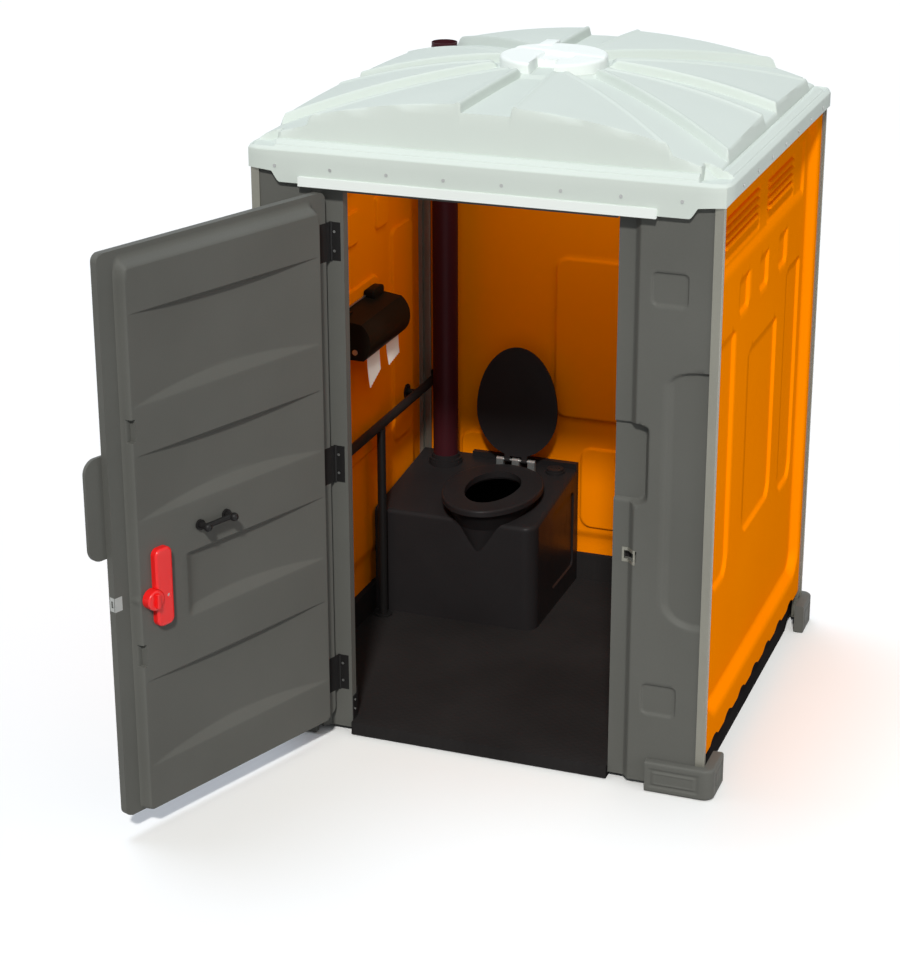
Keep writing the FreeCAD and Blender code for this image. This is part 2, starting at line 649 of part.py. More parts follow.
def hinges(jamb_extra, door_extra):
    """Three butt hinges: a jamb leaf, a door leaf and a pin each, and all the screws."""
    seat = -END_Y + SEAT_DEPTH
    third = HINGE_HEIGHT / 3
    jamb_leaves, door_leaves, pins, jamb_screws, door_screws = [], [], [], [], []
    for z in HINGE_CENTRES:
        low = z - HINGE_HEIGHT / 2
        centre = V(PIN_X, PIN_Y, low)
        leaf = box(PIN_X + 2, PIN_X + HINGE_LEAF, seat + TOUCH / 3, seat + HINGE_PLATE, low,
                   low + HINGE_HEIGHT)
        clear = rod(V(PIN_X, PIN_Y, low + third), Z_AXIS, KNUCKLE_RADIUS + 1, third)
        for start in (low, low + 2 * third):
            leaf = leaf.fuse(rod(V(PIN_X, PIN_Y, start), Z_AXIS, KNUCKLE_RADIUS, third))
        leaf = leaf.cut(clear).cut(rod(centre, Z_AXIS, PIN_RADIUS, HINGE_HEIGHT))
        jamb_leaves.append(leaf)

        gap = TOUCH
        leaf = box(PIN_X + 2, PIN_X + DOOR_LEAF, DOOR_FACE - HINGE_PLATE, DOOR_FACE, low,
                   low + HINGE_HEIGHT)
        for start in (low - 1, low + 2 * third):
            leaf = leaf.cut(rod(V(PIN_X, PIN_Y, start), Z_AXIS, KNUCKLE_RADIUS + 1, third + 1))
        leaf = leaf.fuse(rod(V(PIN_X, PIN_Y, low + third + gap), Z_AXIS, KNUCKLE_RADIUS,
                             third - 2 * gap))
        leaf = leaf.cut(rod(centre, Z_AXIS, PIN_RADIUS + RUNNING, HINGE_HEIGHT))
        door_leaves.append(leaf)
        pins.append(rod(centre, Z_AXIS, PIN_RADIUS, HINGE_HEIGHT))
        for dz in (-HINGE_HEIGHT / 4, HINGE_HEIGHT / 4):
            jamb_screws.append((PIN_X + HINGE_LEAF / 3, z + dz))
            door_screws.append((PIN_X + DOOR_LEAF - 8, z + dz))
    recess = 1.4
    heads_j = [rod(V(x, seat + TOUCH / 3, z), Y_AXIS, HINGE_SCREW_RADIUS, recess)
               for x, z in jamb_screws]
    heads_d = [rod(V(x, DOOR_FACE - recess, z), Y_AXIS, HINGE_SCREW_RADIUS, recess)
               for x, z in door_screws]
    save("hinge_jamb_leaves", Part.makeCompound([leaf.cut(Part.makeCompound(heads_j))
                                                 for leaf in jamb_leaves]))
    save("hinge_door_leaves", swing(Part.makeCompound([leaf.cut(Part.makeCompound(heads_d))
                                                       for leaf in door_leaves])))
    save("hinge_pins", Part.makeCompound(pins))
    save("jamb_screws", Part.makeCompound(heads_j + jamb_extra))
    save("door_screws", Part.makeCompound([swing(Part.makeCompound(heads_d)), door_extra]))


def door_leaf_cutters():
    """Seats for the hinge leaves in the closed door's flange."""
    cutters = []
    for z in HINGE_CENTRES:
        cutters.append(box(PIN_X, PIN_X + DOOR_LEAF, DOOR_FACE - HINGE_PLATE, DOOR_FACE + 1,
                           z - HINGE_HEIGHT / 2, z + HINGE_HEIGHT / 2))
    return Part.makeCompound(cutters)


def scoop(z0, z1, stop, grow):
    """A band scooped into the raised panel: a plan arc cut off by sloping sides and by its stop."""
    face = FACE_OFFSET
    x0, x1 = PIN_X + SCOOP_FROM - 2 * grow, PIN_X + SCOOP_TO + 2 * grow
    low, high = z0 - grow, z1 + grow
    above = 8.0
    a, b = V(x0, face, low - PROUD), V(x1, face, low - PROUD)
    c, d = V(x1, face + above, low - PROUD), V(x0, face + above, low - PROUD)
    arc = Part.Arc(a, V((x0 + x1) / 2, face - SCOOP_DEPTH - grow, low - PROUD), b).toShape()
    wire = Part.Wire([arc, Part.makeLine(b, c), Part.makeLine(c, d), Part.makeLine(d, a)])
    plan = Part.Face(wire).extrude(V(0, 0, high - low + 2 * PROUD))
    floor = SCOOP_DEPTH + grow + PROUD
    run = SCOOP_RUN / SCOOP_DEPTH
    points = [(face - floor, low + floor * run), (face + above, low - above * run),
              (face + above, high + above * run), (face - floor, high - floor * run)]
    band = side_prism(points, x0 - PROUD, x1 + PROUD).common(plan)
    if stop < SCOOP_TO:
        wire = round_rect(x0 - 90, PIN_X + stop + grow, low, high, SCOOP_END_ROUND + grow, 0)
        limit = placed(Part.Face(wire).extrude(V(0, 0, 200)), front_matrix())
        limit.translate(V(0, face + 50, 0))
        band = band.common(limit)
    return band


def height_span(span):
    """Two heights on the door from their shares of its height."""
    return DOOR_BOTTOM + span[0] * DOOR_HEIGHT, DOOR_BOTTOM + span[1] * DOOR_HEIGHT


def door():
    """The door: an outer tray, a raised inner skin and what is fixed to them."""
    s0, s1 = DOOR_START, DOOR_WIDTH
    split = DOOR_FACE - DOOR_SKIN

    def flange(y0, y1, inset):
        wire = round_rect(PIN_X + s0 + inset, PIN_X + s1 - inset, DOOR_BOTTOM + inset,
                          DOOR_TOP - inset, DOOR_ROUND - inset, -y1)
        solid = Part.Face(wire).extrude(V(0, 0, y1 - y0))
        return placed(solid, front_matrix())

    outer = flange(DOOR_OUTER, split, 0).cut(flange(DOOR_OUTER + DOOR_SKIN, split + 1, DOOR_SKIN))
    local = placed(outer, front_matrix().inverse())
    for span in ((0.775, 0.939), (0.568, 0.731), (0.262, 0.338), (0.044, 0.207)):
        z0, z1 = height_span(span)
        local = press(local, PIN_X + 90, PIN_X + s1 - 85, z0, z1, -DOOR_OUTER, 6, 14, 30, DOOR_SKIN)
    outer = placed(local, front_matrix())
    bolt_y = DOOR_FACE - FLANGE / 2
    way = door_box(BOLT_START, s1 + 5, bolt_y - BOLT_THICKNESS / 2 - TOUCH,
                   bolt_y + BOLT_THICKNESS / 2 + TOUCH, LATCH_Z - BOLT_HEIGHT / 2 - TOUCH,
                   LATCH_Z + BOLT_HEIGHT / 2 + TOUCH)
    spindle_hole = rod(V(PIN_X + LATCH_S, DOOR_OUTER - 60, LATCH_Z), Y_AXIS, SPINDLE_RADIUS + 0.5, 200)
    plate_seat = edge_plate(0.0)
    outer = outer.cut(way).cut(spindle_hole).cut(door_leaf_cutters()).cut(plate_seat)
    save("door_outer_skin", swing(outer.removeSplitter()))

    slope = RAISED_SLOPE

    def raised(inset, depth):
        low = round_rect(PIN_X + RAISED_FROM + inset, PIN_X + RAISED_TO - inset,
                         RAISED_BOTTOM + inset, RAISED_TOP - inset, 40 - inset,
                         -DOOR_FACE + (inset + 1 if inset else 0))
        high = round_rect(PIN_X + RAISED_FROM + slope + inset, PIN_X + RAISED_TO - slope - inset,
                          RAISED_BOTTOM + slope / 2 + inset, RAISED_TOP - 2 * slope - inset,
                          30 - inset, -DOOR_FACE - depth)
        return placed(Part.makeLoft([low, high], True, True), front_matrix())

    inner = flange(split, DOOR_FACE, 0).fuse(raised(0, RAISED))
    keep = raised(DOOR_SKIN, RAISED - DOOR_SKIN)
    for low, high, stop in SCOOPS:
        z0, z1 = height_span((low, high))
        inner = inner.cut(scoop(z0, z1, stop, 0.0))
        keep = keep.cut(scoop(z0, z1, stop, DOOR_SKIN))
    for span in NOTCHES:
        z0, z1 = height_span(span)
        inner = inner.cut(door_box(RAISED_TO - slope - 12, RAISED_TO + 5, DOOR_FACE + RAISED - NOTCH_DEPTH,
                                   DOOR_FACE + RAISED + 5, z0, z1))
        keep = keep.cut(door_box(RAISED_TO - slope - 12 - DOOR_SKIN, RAISED_TO + 5,
                                 DOOR_FACE + RAISED - NOTCH_DEPTH - DOOR_SKIN,
                                 DOOR_FACE + RAISED + 5, z0 - DOOR_SKIN, z1 + DOOR_SKIN))
    inner = inner.cut(keep).cut(door_leaf_cutters()).cut(plate_seat).cut(spindle_hole)
    boss_y = DOOR_FACE + 1
    boss = tube(V(PIN_X + LATCH_S + 12, boss_y - 2, LATCH_Z), Y_AXIS, KNOB_RADIUS + 4, KNOB_RADIUS - 6,
                RAISED - 4)
    boss = boss.common(door_box(RAISED_TO - slope - 20, RAISED_TO + 60, DOOR_FACE - 1,
                                DOOR_FACE + RAISED - 5, 0, WALL_TOP))
    boss = boss.cut(raised(0, RAISED))
    inner = inner.fuse(boss)
    save("door_inner_skin", swing(inner.removeSplitter()))

    case = door_box(BOLT_START - 8, LATCH_S + 50, DOOR_OUTER + DOOR_SKIN, split, LATCH_Z - 30,
                    LATCH_Z + 30)
    case = case.cut(way).cut(spindle_hole)
    case = case.cut(door_box(BOLT_START - 20, BOLT_START + 1, bolt_y - 6, bolt_y + 6,
                             LATCH_Z - 12, LATCH_Z + 12))
    save("latch_case", swing(case))
    save("latch_edge_plate", swing(edge_plate(0.0).cut(way)))


def edge_plate(extra):
    """An angle plate let into the free edge of the door round the bolt."""
    t = 1.5
    y1 = DOOR_FACE
    s1 = DOOR_WIDTH
    side = door_box(s1 - t, s1, y1 - FLANGE + 3, y1, LATCH_Z - 23, LATCH_Z + 23)
    inner = door_box(s1 - 29, s1, y1 - t, y1, LATCH_Z - 23, LATCH_Z + 23)
    return side.fuse(inner).removeSplitter()


def latch():
    """The latch: a fixed grip, a knob on its spindle, an outside dial and the bolt; gives a screw."""
    bolt_y = DOOR_FACE - FLANGE / 2
    face = FACE_OFFSET
    knob_x = PIN_X + LATCH_S
    outline = round_rect(PIN_X + GRIP_FROM, PIN_X + GRIP_FROM + GRIP_WIDTH, GRIP_BOTTOM, GRIP_TOP,
                         GRIP_WIDTH / 3, 0)
    grip = placed(Part.Face(outline).extrude(V(0, 0, GRIP_HEIGHT)), front_matrix())
    grip.translate(V(0, face + GRIP_HEIGHT, 0))
    edges = []
    for edge in grip.Edges:
        if edge.BoundBox.YMin > face + GRIP_HEIGHT - 1e-6:
            edges.append(edge)
    grip = grip.makeFillet(GRIP_HEIGHT / 3, edges)
    grip = grip.cut(rod(V(knob_x, face - 1, LATCH_Z), Y_AXIS, KNOB_RADIUS + 1, GRIP_HEIGHT + 5))
    grip = grip.cut(rod(V(PIN_X + GRIP_FROM + 22, face + GRIP_HEIGHT - 6, LATCH_Z), Y_AXIS, 6, 10))
    save("latch_grip", swing(grip))
    screw = rod(V(PIN_X + GRIP_FROM + 22, face + GRIP_HEIGHT - 6, LATCH_Z), Y_AXIS, 6, 3)

    start = face + 2 * TOUCH
    knob = rod(V(knob_x, start, LATCH_Z), Y_AXIS, KNOB_RADIUS, KNOB_HEIGHT)
    knob = knob.makeFillet(5.0, [edge for edge in knob.Edges
                                 if abs(edge.BoundBox.YMin - start - KNOB_HEIGHT) < 1e-6])
    wing = box(knob_x - 7, knob_x + 7, start + KNOB_HEIGHT - 4, start + KNOB_HEIGHT + 12,
               LATCH_Z - 24, LATCH_Z + 24)
    wing = wing.makeFillet(3.0, wing.Edges)
    save("latch_knob", swing(knob.fuse(wing).removeSplitter()))
    outside = DOOR_OUTER - 2 * TOUCH
    spindle = rod(V(knob_x, outside, LATCH_Z), Y_AXIS, SPINDLE_RADIUS - 0.2, start - outside)
    save("latch_spindle", swing(spindle))
    dial = rod(V(knob_x, outside - 9, LATCH_Z), Y_AXIS, 30, 9)
    dial = dial.makeFillet(2.0, [edge for edge in dial.Edges
                                 if abs(edge.BoundBox.YMax - outside + 9) < 1e-6])
    dial = dial.fuse(box(knob_x - 4, knob_x + 4, outside - 13, outside - 8, LATCH_Z - 22, LATCH_Z + 22))
    save("occupancy_dial", swing(dial.removeSplitter()))

    tip = DOOR_WIDTH - 4
    bolt = door_box(BOLT_START + 2, tip, bolt_y - BOLT_THICKNESS / 2, bolt_y + BOLT_THICKNESS / 2,
                    LATCH_Z - BOLT_HEIGHT / 2, LATCH_Z + BOLT_HEIGHT / 2)
    slot_r = SPINDLE_RADIUS + 0.5
    slot = door_box(LATCH_S - BOLT_TRAVEL - slot_r - 2, LATCH_S + slot_r + 2, bolt_y - 20,
                    bolt_y + 20, LATCH_Z - slot_r, LATCH_Z + slot_r)
    save("latch_bolt", swing(bolt.cut(slot)))
    return swing(screw)


def door_fittings():
    """The pull tab outside and the coat hook inside."""
    z0, z1, r = 956.0, 1286.0, 46.0
    t = 14.0
    wire = round_rect(PIN_X + DOOR_WIDTH - 70, PIN_X + DOOR_WIDTH + 66, z0, z1, r, 0)
    tab = placed(Part.Face(wire).extrude(V(0, 0, t)), front_matrix())
    tab.translate(V(0, DOOR_OUTER, 0))
    tab = tab.makeFillet(4.0, [edge for edge in tab.Edges
                               if abs(edge.BoundBox.YMax - DOOR_OUTER + t) < 1e-6
                               and edge.BoundBox.YLength < 1e-6])
    save("pull_tab", swing(tab))

    face = FACE_OFFSET
    s, z, half = 595.0, 984.0, 56.0
    parts = []
    for side in (-1, 1):
        centre = V(PIN_X + s + side * half, face, z)
        parts.append(rod(centre, Y_AXIS, 17, 8))
        parts.append(rod(centre, Y_AXIS, 11, 40))
        parts.append(Part.makeSphere(14, V(PIN_X + s + side * half, face + 38, z)))
    parts.append(rod(V(PIN_X + s - half, face + 28, z), X_AXIS, 9, 2 * half))
    save("coat_hook", swing(union(parts)))


def egg(half_width, front, back, widest, z):
    """A closed egg outline: an arc each way round from the back to the front."""
    mid = V(SEAT_X + half_width, widest, z)
    other = V(SEAT_X - half_width, widest, z)
    front_point, back_point = V(SEAT_X, front, z), V(SEAT_X, back, z)
    quarters = []
    for end, side_point in ((front_point, mid), (back_point, mid), (back_point, other),
                            (front_point, other)):
        reach = abs(end.y - widest)
        centre = V(SEAT_X, widest, z)
        long_axis = (end - centre) if reach >= half_width else (side_point - centre)
        short_axis = (side_point - centre) if reach >= half_width else (end - centre)
        ellipse = Part.Ellipse(centre + long_axis, centre + short_axis, centre)
        a = ellipse.parameter(end)
        b = ellipse.parameter(side_point)
        low, high = min(a, b), max(a, b)
        if high - low > math.pi:
            low, high = high, low + 2 * math.pi
        quarters.append(Part.Edge(ellipse, low, high))
    return Part.Wire(Part.__sortEdges__(quarters))


def tank():
    """The waste tank with its sloping deck, the bowl's flared front, its cap and pipe seat."""
    left = -PAN_X + KERB_THICKNESS + TOUCH
    back = PAN_BACK - KERB_THICKNESS - TOUCH

    def block(inset, x_inset):
        y0, y1 = TANK_FRONT + inset, back - inset
        z0 = FLOOR_Z + inset
        points = [(y0, z0), (y1, z0), (y1, DECK_BACK_Z - inset), (y0, DECK_FRONT_Z - inset)]
        return side_prism(points, left + x_inset, TANK_RIGHT - x_inset)

    outer = block(0, 0)
    corner = [edge for edge in outer.Edges if edge.BoundBox.ZLength > 300
              and edge.BoundBox.XMin > TANK_RIGHT - 1 and edge.BoundBox.YMax < TANK_FRONT + 1]
    outer = outer.makeFillet(TANK_ROUND, corner)
    rim = [edge for edge in outer.Edges if edge.BoundBox.ZMin > 400
           and (edge.BoundBox.YMax < TANK_FRONT + TANK_ROUND + 1 or edge.BoundBox.XMin > TANK_RIGHT - 1)]
    outer = outer.makeFillet(TANK_EDGE, rim)
    inner = block(TANK_WALL, TANK_WALL)
    corner = [edge for edge in inner.Edges if edge.BoundBox.ZLength > 300
              and edge.BoundBox.XMin > TANK_RIGHT - TANK_WALL - 1
              and edge.BoundBox.YMax < TANK_FRONT + TANK_WALL + 1]
    inner = inner.makeFillet(TANK_ROUND - TANK_WALL, corner)

    rim_top = SEAT_TOP - SEAT_THICKNESS
    middle = (SEAT_FRONT_Y + SEAT_BACK_Y) / 2 + 20

    def funnel(inset, top):
        upper = egg(SEAT_HALF_WIDTH - 8 - inset, SEAT_FRONT_Y + 10 + inset, SEAT_BACK_Y - 20 - inset,
                    middle, top)
        waist = egg(SEAT_HALF_WIDTH - 50 - inset, TANK_FRONT - 30 + inset, 470 - inset, 330, 440)
        tip = egg(32, TANK_FRONT + 2 + inset, 260, 220, 336 + inset)
        return Part.makeLoft([tip, waist, upper], True, True)

    panel = tray_cut(385, 645, 130, 440, TANK_RIGHT, TANK_PANEL, 5, 26)
    behind = tray_cut(385, 645, 130, 440, TANK_RIGHT, TANK_PANEL, 5, 26, TANK_WALL)
    side = FreeCAD.Matrix(0, 0, 1, 0, 1, 0, 0, 0, 0, 1, 0, 0, 0, 0, 0, 1)
    inner = inner.cut(placed(behind, side))
    shell = outer.fuse(funnel(0, rim_top)).cut(inner).cut(placed(panel, side))
    shell = shell.cut(funnel(TANK_WALL, rim_top - TANK_WALL))
    hole = Part.Face(egg(HOLE_HALF_WIDTH, HOLE_FRONT_Y, HOLE_BACK_Y, 350, rim_top - 40))
    shell = shell.cut(hole.extrude(V(0, 0, 60)))
    boss = rod(V(PIPE_X, PIPE_Y, 470), Z_AXIS, 66, PIPE_FOOT - 470)
    bore = rod(V(PIPE_X, PIPE_Y, 400), Z_AXIS, PIPE_RADIUS - PIPE_WALL, 200)
    cap_seat = rod(V(CAP_X, CAP_Y, 480), Z_AXIS, 37, CAP_SEAT_Z - 480)
    ledge = box(-530, TANK_RIGHT, back - 24, back, 480, 535)
    shell = union([shell, boss, cap_seat, ledge]).cut(bore)
    shell = shell.cut(rod(V(CAP_X, CAP_Y, 400), Z_AXIS, CAP_NECK, 200))
    save("waste_tank", shell)
    cap = rod(V(CAP_X, CAP_Y, CAP_SEAT_Z), Z_AXIS, 32, 9)
    cap = cap.fuse(rod(V(CAP_X, CAP_Y, CAP_SEAT_Z - 18), Z_AXIS, CAP_NECK - TOUCH / 2, 19))
    cap = cap.cut(box(CAP_X - 20, CAP_X + 20, CAP_Y - 4, CAP_Y + 4, CAP_SEAT_Z + 5, CAP_SEAT_Z + 20))
    save("tank_cap", cap.removeSplitter())

    ring = Part.Face(egg(SEAT_HALF_WIDTH, SEAT_FRONT_Y, SEAT_BACK_Y, middle, rim_top))
    ring = ring.extrude(V(0, 0, SEAT_THICKNESS))
    ring = ring.makeFillet(8.0, [edge for edge in ring.Edges
                                 if edge.BoundBox.ZMin > SEAT_TOP - 1])
    opening = Part.Face(egg(HOLE_HALF_WIDTH - 4, HOLE_FRONT_Y + 4, HOLE_BACK_Y - 4, 350, rim_top - 1))
    ring = ring.cut(opening.extrude(V(0, 0, 60)))
    save("seat_ring", ring)


def lid():
    """The seat lid with its lugs, drawn closed and then turned up."""
    z0 = SEAT_TOP + TOUCH
    reach = LID_PIN_Y - LID_LENGTH
    plate = Part.Face(egg(LID_HALF_WIDTH, reach, LID_PIN_Y - 16, reach + 250, z0))
    plate = plate.extrude(V(0, 0, LID_THICKNESS))
    plate = plate.makeFillet(4.0, [edge for edge in plate.Edges
                                   if edge.BoundBox.ZMin > z0 + LID_THICKNESS - 1])
    lugs = []
    for x in (-34.0, 34.0):
        centre = V(SEAT_X + x - 11, LID_PIN_Y, LID_PIN_Z)
        lug = rod(centre, X_AXIS, 9, 22)
        arm = box(SEAT_X + x - 11, SEAT_X + x + 11, LID_PIN_Y - 30, LID_PIN_Y, z0,
                  z0 + LID_THICKNESS)
        lugs += [lug, arm]
    shape = union([plate] + lugs)
    bore = rod(V(SEAT_X - 100, LID_PIN_Y, LID_PIN_Z), X_AXIS, LID_PIN_RADIUS + RUNNING, 200)
    shape = shape.cut(bore)
    turned = shape.copy()
    turned.rotate(V(0, LID_PIN_Y, LID_PIN_Z), X_AXIS, -LID_OPEN)
    save("seat_lid", turned)

    blocks = []
    for x in (-63.0, 0.0, 63.0):
        half = 14.0
        post = box(SEAT_X + x - half, SEAT_X + x + half, LID_PIN_Y - 9, LID_PIN_Y + 9,
                   DECK_BACK_Z - 20, LID_PIN_Z)
        barrel = rod(V(SEAT_X + x - half, LID_PIN_Y, LID_PIN_Z), X_AXIS, 9, 2 * half)
        blocks.append(post.fuse(barrel).removeSplitter())
    pin = rod(V(SEAT_X - 74, LID_PIN_Y, LID_PIN_Z), X_AXIS, LID_PIN_RADIUS, 148)
    deck = side_prism(deck_outline(), -PAN_X, TANK_RIGHT)
    blocks = [block.cut(pin).cut(deck) for block in blocks]
    save("lid_hinge_blocks", Part.makeCompound(blocks))
    save("lid_hinge_pin", pin)


def deck_outline():
    """The tank's side outline up to its deck."""
    back = PAN_BACK - KERB_THICKNESS - TOUCH
    return [(TANK_FRONT, FLOOR_Z), (back, FLOOR_Z), (back, DECK_BACK_Z), (TANK_FRONT, DECK_FRONT_Z)]


def vent():
    """The vent pipe, the collar at its foot and the boot where it leaves the roof."""
    foot = PIPE_FOOT
    pipe = tube(V(PIPE_X, PIPE_Y, foot), Z_AXIS, PIPE_RADIUS, PIPE_RADIUS - PIPE_WALL, PIPE_TOP - foot)
    top = tube(V(PIPE_X, PIPE_Y, PIPE_TOP - SPIGOT_LENGTH), Z_AXIS, PIPE_RADIUS + PROUD,
               PIPE_RADIUS - SPIGOT_STEP, SPIGOT_LENGTH + PROUD)
    save("vent_pipe", pipe.cut(top))
    collar = tube(V(PIPE_X, PIPE_Y, foot), Z_AXIS, 63, PIPE_RADIUS, 10)
    collar = collar.fuse(tube(V(PIPE_X, PIPE_Y, foot + 10), Z_AXIS, 54, PIPE_RADIUS, 14))
    save("pipe_collar", collar.removeSplitter())


def rail():
    """The grab rail along the left wall, its leg, brackets and flanges."""
    wall = -(WALL_X - FIELD_DEPTH - SHEET)
    back = WALL_Y - SHEET
    stub = RAIL_X - wall
    bar = rod(V(RAIL_X, RAIL_FRONT_Y, RAIL_Z), Y_AXIS, RAIL_RADIUS, back - RAIL_FLANGE - RAIL_FRONT_Y)
    ball = Part.makeSphere(RAIL_RADIUS, V(RAIL_X, RAIL_FRONT_Y, RAIL_Z))
    turn = rod(V(wall + RAIL_FLANGE, RAIL_FRONT_Y, RAIL_Z), X_AXIS, RAIL_RADIUS, stub - RAIL_FLANGE)
    save("grab_rail", union([bar, ball, turn]))
    leg = rod(V(RAIL_X, RAIL_LEG_Y, FLOOR_Z + RAIL_FLANGE), Z_AXIS, RAIL_RADIUS - 1,
              RAIL_Z - FLOOR_Z - RAIL_FLANGE)
    save("rail_leg", leg.cut(bar))
    flanges = [rod(V(wall, RAIL_FRONT_Y, RAIL_Z), X_AXIS, RAIL_FLANGE_RADIUS, RAIL_FLANGE),
               rod(V(RAIL_X, back - RAIL_FLANGE, RAIL_Z), Y_AXIS, RAIL_FLANGE_RADIUS, RAIL_FLANGE),
               rod(V(RAIL_X, RAIL_LEG_Y, FLOOR_Z), Z_AXIS, RAIL_FLANGE_RADIUS, RAIL_FLANGE)]
    panel = wall + PANEL_DEPTH
    bracket = rod(V(panel, RAIL_BRACKET_Y, RAIL_Z), X_AXIS, RAIL_FLANGE_RADIUS - 4, RAIL_FLANGE)
    bracket = bracket.fuse(rod(V(panel, RAIL_BRACKET_Y, RAIL_Z), X_AXIS, 12, stub - PANEL_DEPTH))
    save("rail_flanges", Part.makeCompound(flanges + [bracket.cut(bar)]))


def dispenser():
    """The two-roll paper dispenser: back plate, hinged cover, spindle, rolls and tails."""
    wall = -(WALL_X - FIELD_DEPTH - PANEL_DEPTH - SHEET)
    y0, y1 = DISP_FRONT_Y, DISP_FRONT_Y + DISP_LENGTH
    plate = box(wall, wall + 4, y0 + 4, y1 - 4, DISP_BOTTOM + 12, DISP_TOP)
    centre_x, centre_z = wall + 74, DISP_BOTTOM + DISP_HEIGHT / 2
    arms = []
    gap = 4.0
    ends = (y0 + 10, (y0 + y1) / 2 - 5, y1 - 20)
    for y in ends:
        arms.append(box(wall + 4, centre_x + 12, y, y + 10, centre_z - 16, centre_z + 16))
    plate = union([plate] + arms)
    spindle = rod(V(centre_x, y0 + 10, centre_z), Y_AXIS, SPINDLE_R, y1 - 10 - (y0 + 10))
    plate = plate.cut(spindle)
    save("dispenser_spindle", spindle)
    hinge_x, hinge_z = wall + 10, DISP_TOP + 4
    knuckle = tube(V(hinge_x, y0 + 60, hinge_z), Y_AXIS, 7, 3, 40)
    knuckle = knuckle.fuse(tube(V(hinge_x, y1 - 100, hinge_z), Y_AXIS, 7, 3, 40))
    save("dispenser_hinge_pin", rod(V(hinge_x, y0 + 30, hinge_z), Y_AXIS, 3 - RUNNING, DISP_LENGTH - 60))
    ears, clear = [], []
    for y in (y0 + 30, y1 - 46):
        ear = rod(V(hinge_x, y, hinge_z), Y_AXIS, 7, 16)
        ear = ear.fuse(box(wall, hinge_x, y, y + 16, hinge_z - 7, hinge_z + 7))
        ears.append(ear.cut(rod(V(hinge_x, y - 1, hinge_z), Y_AXIS, 3 - RUNNING, 20)))
        clear.append(box(wall, hinge_x + 8.5, y - 1, y + 17, hinge_z - 12, hinge_z + 8))
    save("dispenser_back", union([plate] + ears))

    def hood(inset):
        x0 = wall + 4.6
        x1 = wall + DISP_DEPTH - inset
        z1 = DISP_TOP - inset
        low = DISP_BOTTOM - (PROUD if inset else 0)
        a, b = V(x0 - (PROUD if inset else 0), 0, low), V(x1 - 26, 0, low)
        c = V(x1, 0, DISP_BOTTOM + 62)
        d = V(x1 - 34, 0, z1 - 14)
        e = V(x0 - (PROUD if inset else 0), 0, z1)
        arc_low = Part.Arc(b, V(x1 - 7, 0, DISP_BOTTOM + 26), c).toShape()
        arc_high = Part.Arc(c, V(x1 - 9, 0, DISP_BOTTOM + 102 - inset / 2), d).toShape()
        edges = [Part.makeLine(a, b), arc_low, arc_high, Part.makeLine(d, e), Part.makeLine(e, a)]
        face = Part.Face(Part.Wire(edges))
        face.translate(V(0, y0 + inset, 0))
        return face.extrude(V(0, DISP_LENGTH - 2 * inset, 0))

    cover = hood(0).cut(hood(DISP_WALL))
    arms = []
    for y in (y0 + 60, y1 - 100):
        arms.append(box(hinge_x, hinge_x + 26, y, y + 40, hinge_z - 14, hinge_z - 3))
    cover = union([cover, knuckle] + arms)
    cover = cover.cut(rod(V(hinge_x, y0, hinge_z), Y_AXIS, 3, DISP_LENGTH))
    cover = cover.cut(hood(DISP_WALL))
    lock = rod(V(wall + 84, y0 - 3, DISP_BOTTOM + 30), Y_AXIS, 10, 14)
    cover = cover.cut(lock).cut(Part.makeCompound(clear))
    save("dispenser_cover", cover)
    save("dispenser_lock", lock)

    for name, y in (("paper_roll_front", ends[0] + 10 + gap), ("paper_roll_rear", ends[1] + 10 + gap)):
        length = min(ROLL_WIDTH, ends[1] - ends[0] - 10 - 2 * gap)
        offset = (ends[1] - ends[0] - 10 - 2 * gap - length) / 2
        roll = tube(V(centre_x, y + offset, centre_z), Y_AXIS, ROLL_RADIUS, ROLL_CORE, length)
        hub = tube(V(centre_x, y + offset + 5, centre_z), Y_AXIS, ROLL_CORE, SPINDLE_R + RUNNING,
                   length - 10)
        save(name, roll.fuse(hub).removeSplitter())
    tails = []
    for y, low, width in ((ends[0] + 26, 104.0, 136.0), (ends[1] + 26, 98.0, 132.0)):
        x = centre_x + TAIL_REACH
        touch = centre_z - math.sqrt(ROLL_RADIUS ** 2 - TAIL_REACH ** 2) - TOUCH
        tails.append(box(x, x + 0.6, y, y + width, DISP_BOTTOM - low, touch))
    save("paper_tails", Part.makeCompound(tails))


def crown(depth):
    """Everything under the crowned roof surface, lowered by depth: an arc swept round a far axis."""
    side_radius = (CROWN_REACH ** 2 + CROWN_DROP_SIDE ** 2) / (2 * CROWN_DROP_SIDE)
    end_radius = (CROWN_REACH ** 2 + CROWN_DROP_END ** 2) / (2 * CROWN_DROP_END)
    top = CROWN_Z - depth
    reach = 790.0
    edge_z = top - (side_radius - math.sqrt(side_radius ** 2 - reach ** 2))
    a, b = V(-reach, 0, edge_z), V(reach, 0, edge_z)
    arc = Part.Arc(a, V(0, 0, top), b).toShape()
    floor = SKIRT_FRONT_Z - 36
    c, d = V(reach, 0, floor), V(-reach, 0, floor)
    wire = Part.Wire([arc, Part.makeLine(b, c), Part.makeLine(c, d), Part.makeLine(d, a)])
    face = Part.Face(wire)
    axis_z = CROWN_Z - end_radius
    angle = math.degrees(math.asin(780.0 / end_radius))
    face.rotate(V(0, 0, axis_z), X_AXIS, angle)
    return face.revolve(V(0, 0, axis_z), X_AXIS, -2 * angle)


def taper(x, y, z0, z1, lean):
    """A block whose four sides lean in as they rise."""
    def outline(z, inset):
        return Part.makePolygon([V(-x + inset, -y + inset, z), V(x - inset, -y + inset, z),
                                 V(x - inset, y - inset, z), V(-x + inset, y - inset, z),
                                 V(-x + inset, -y + inset, z)])
    return Part.makeLoft([outline(z0, 0), outline(z1, lean * (z1 - z0))], True, True)


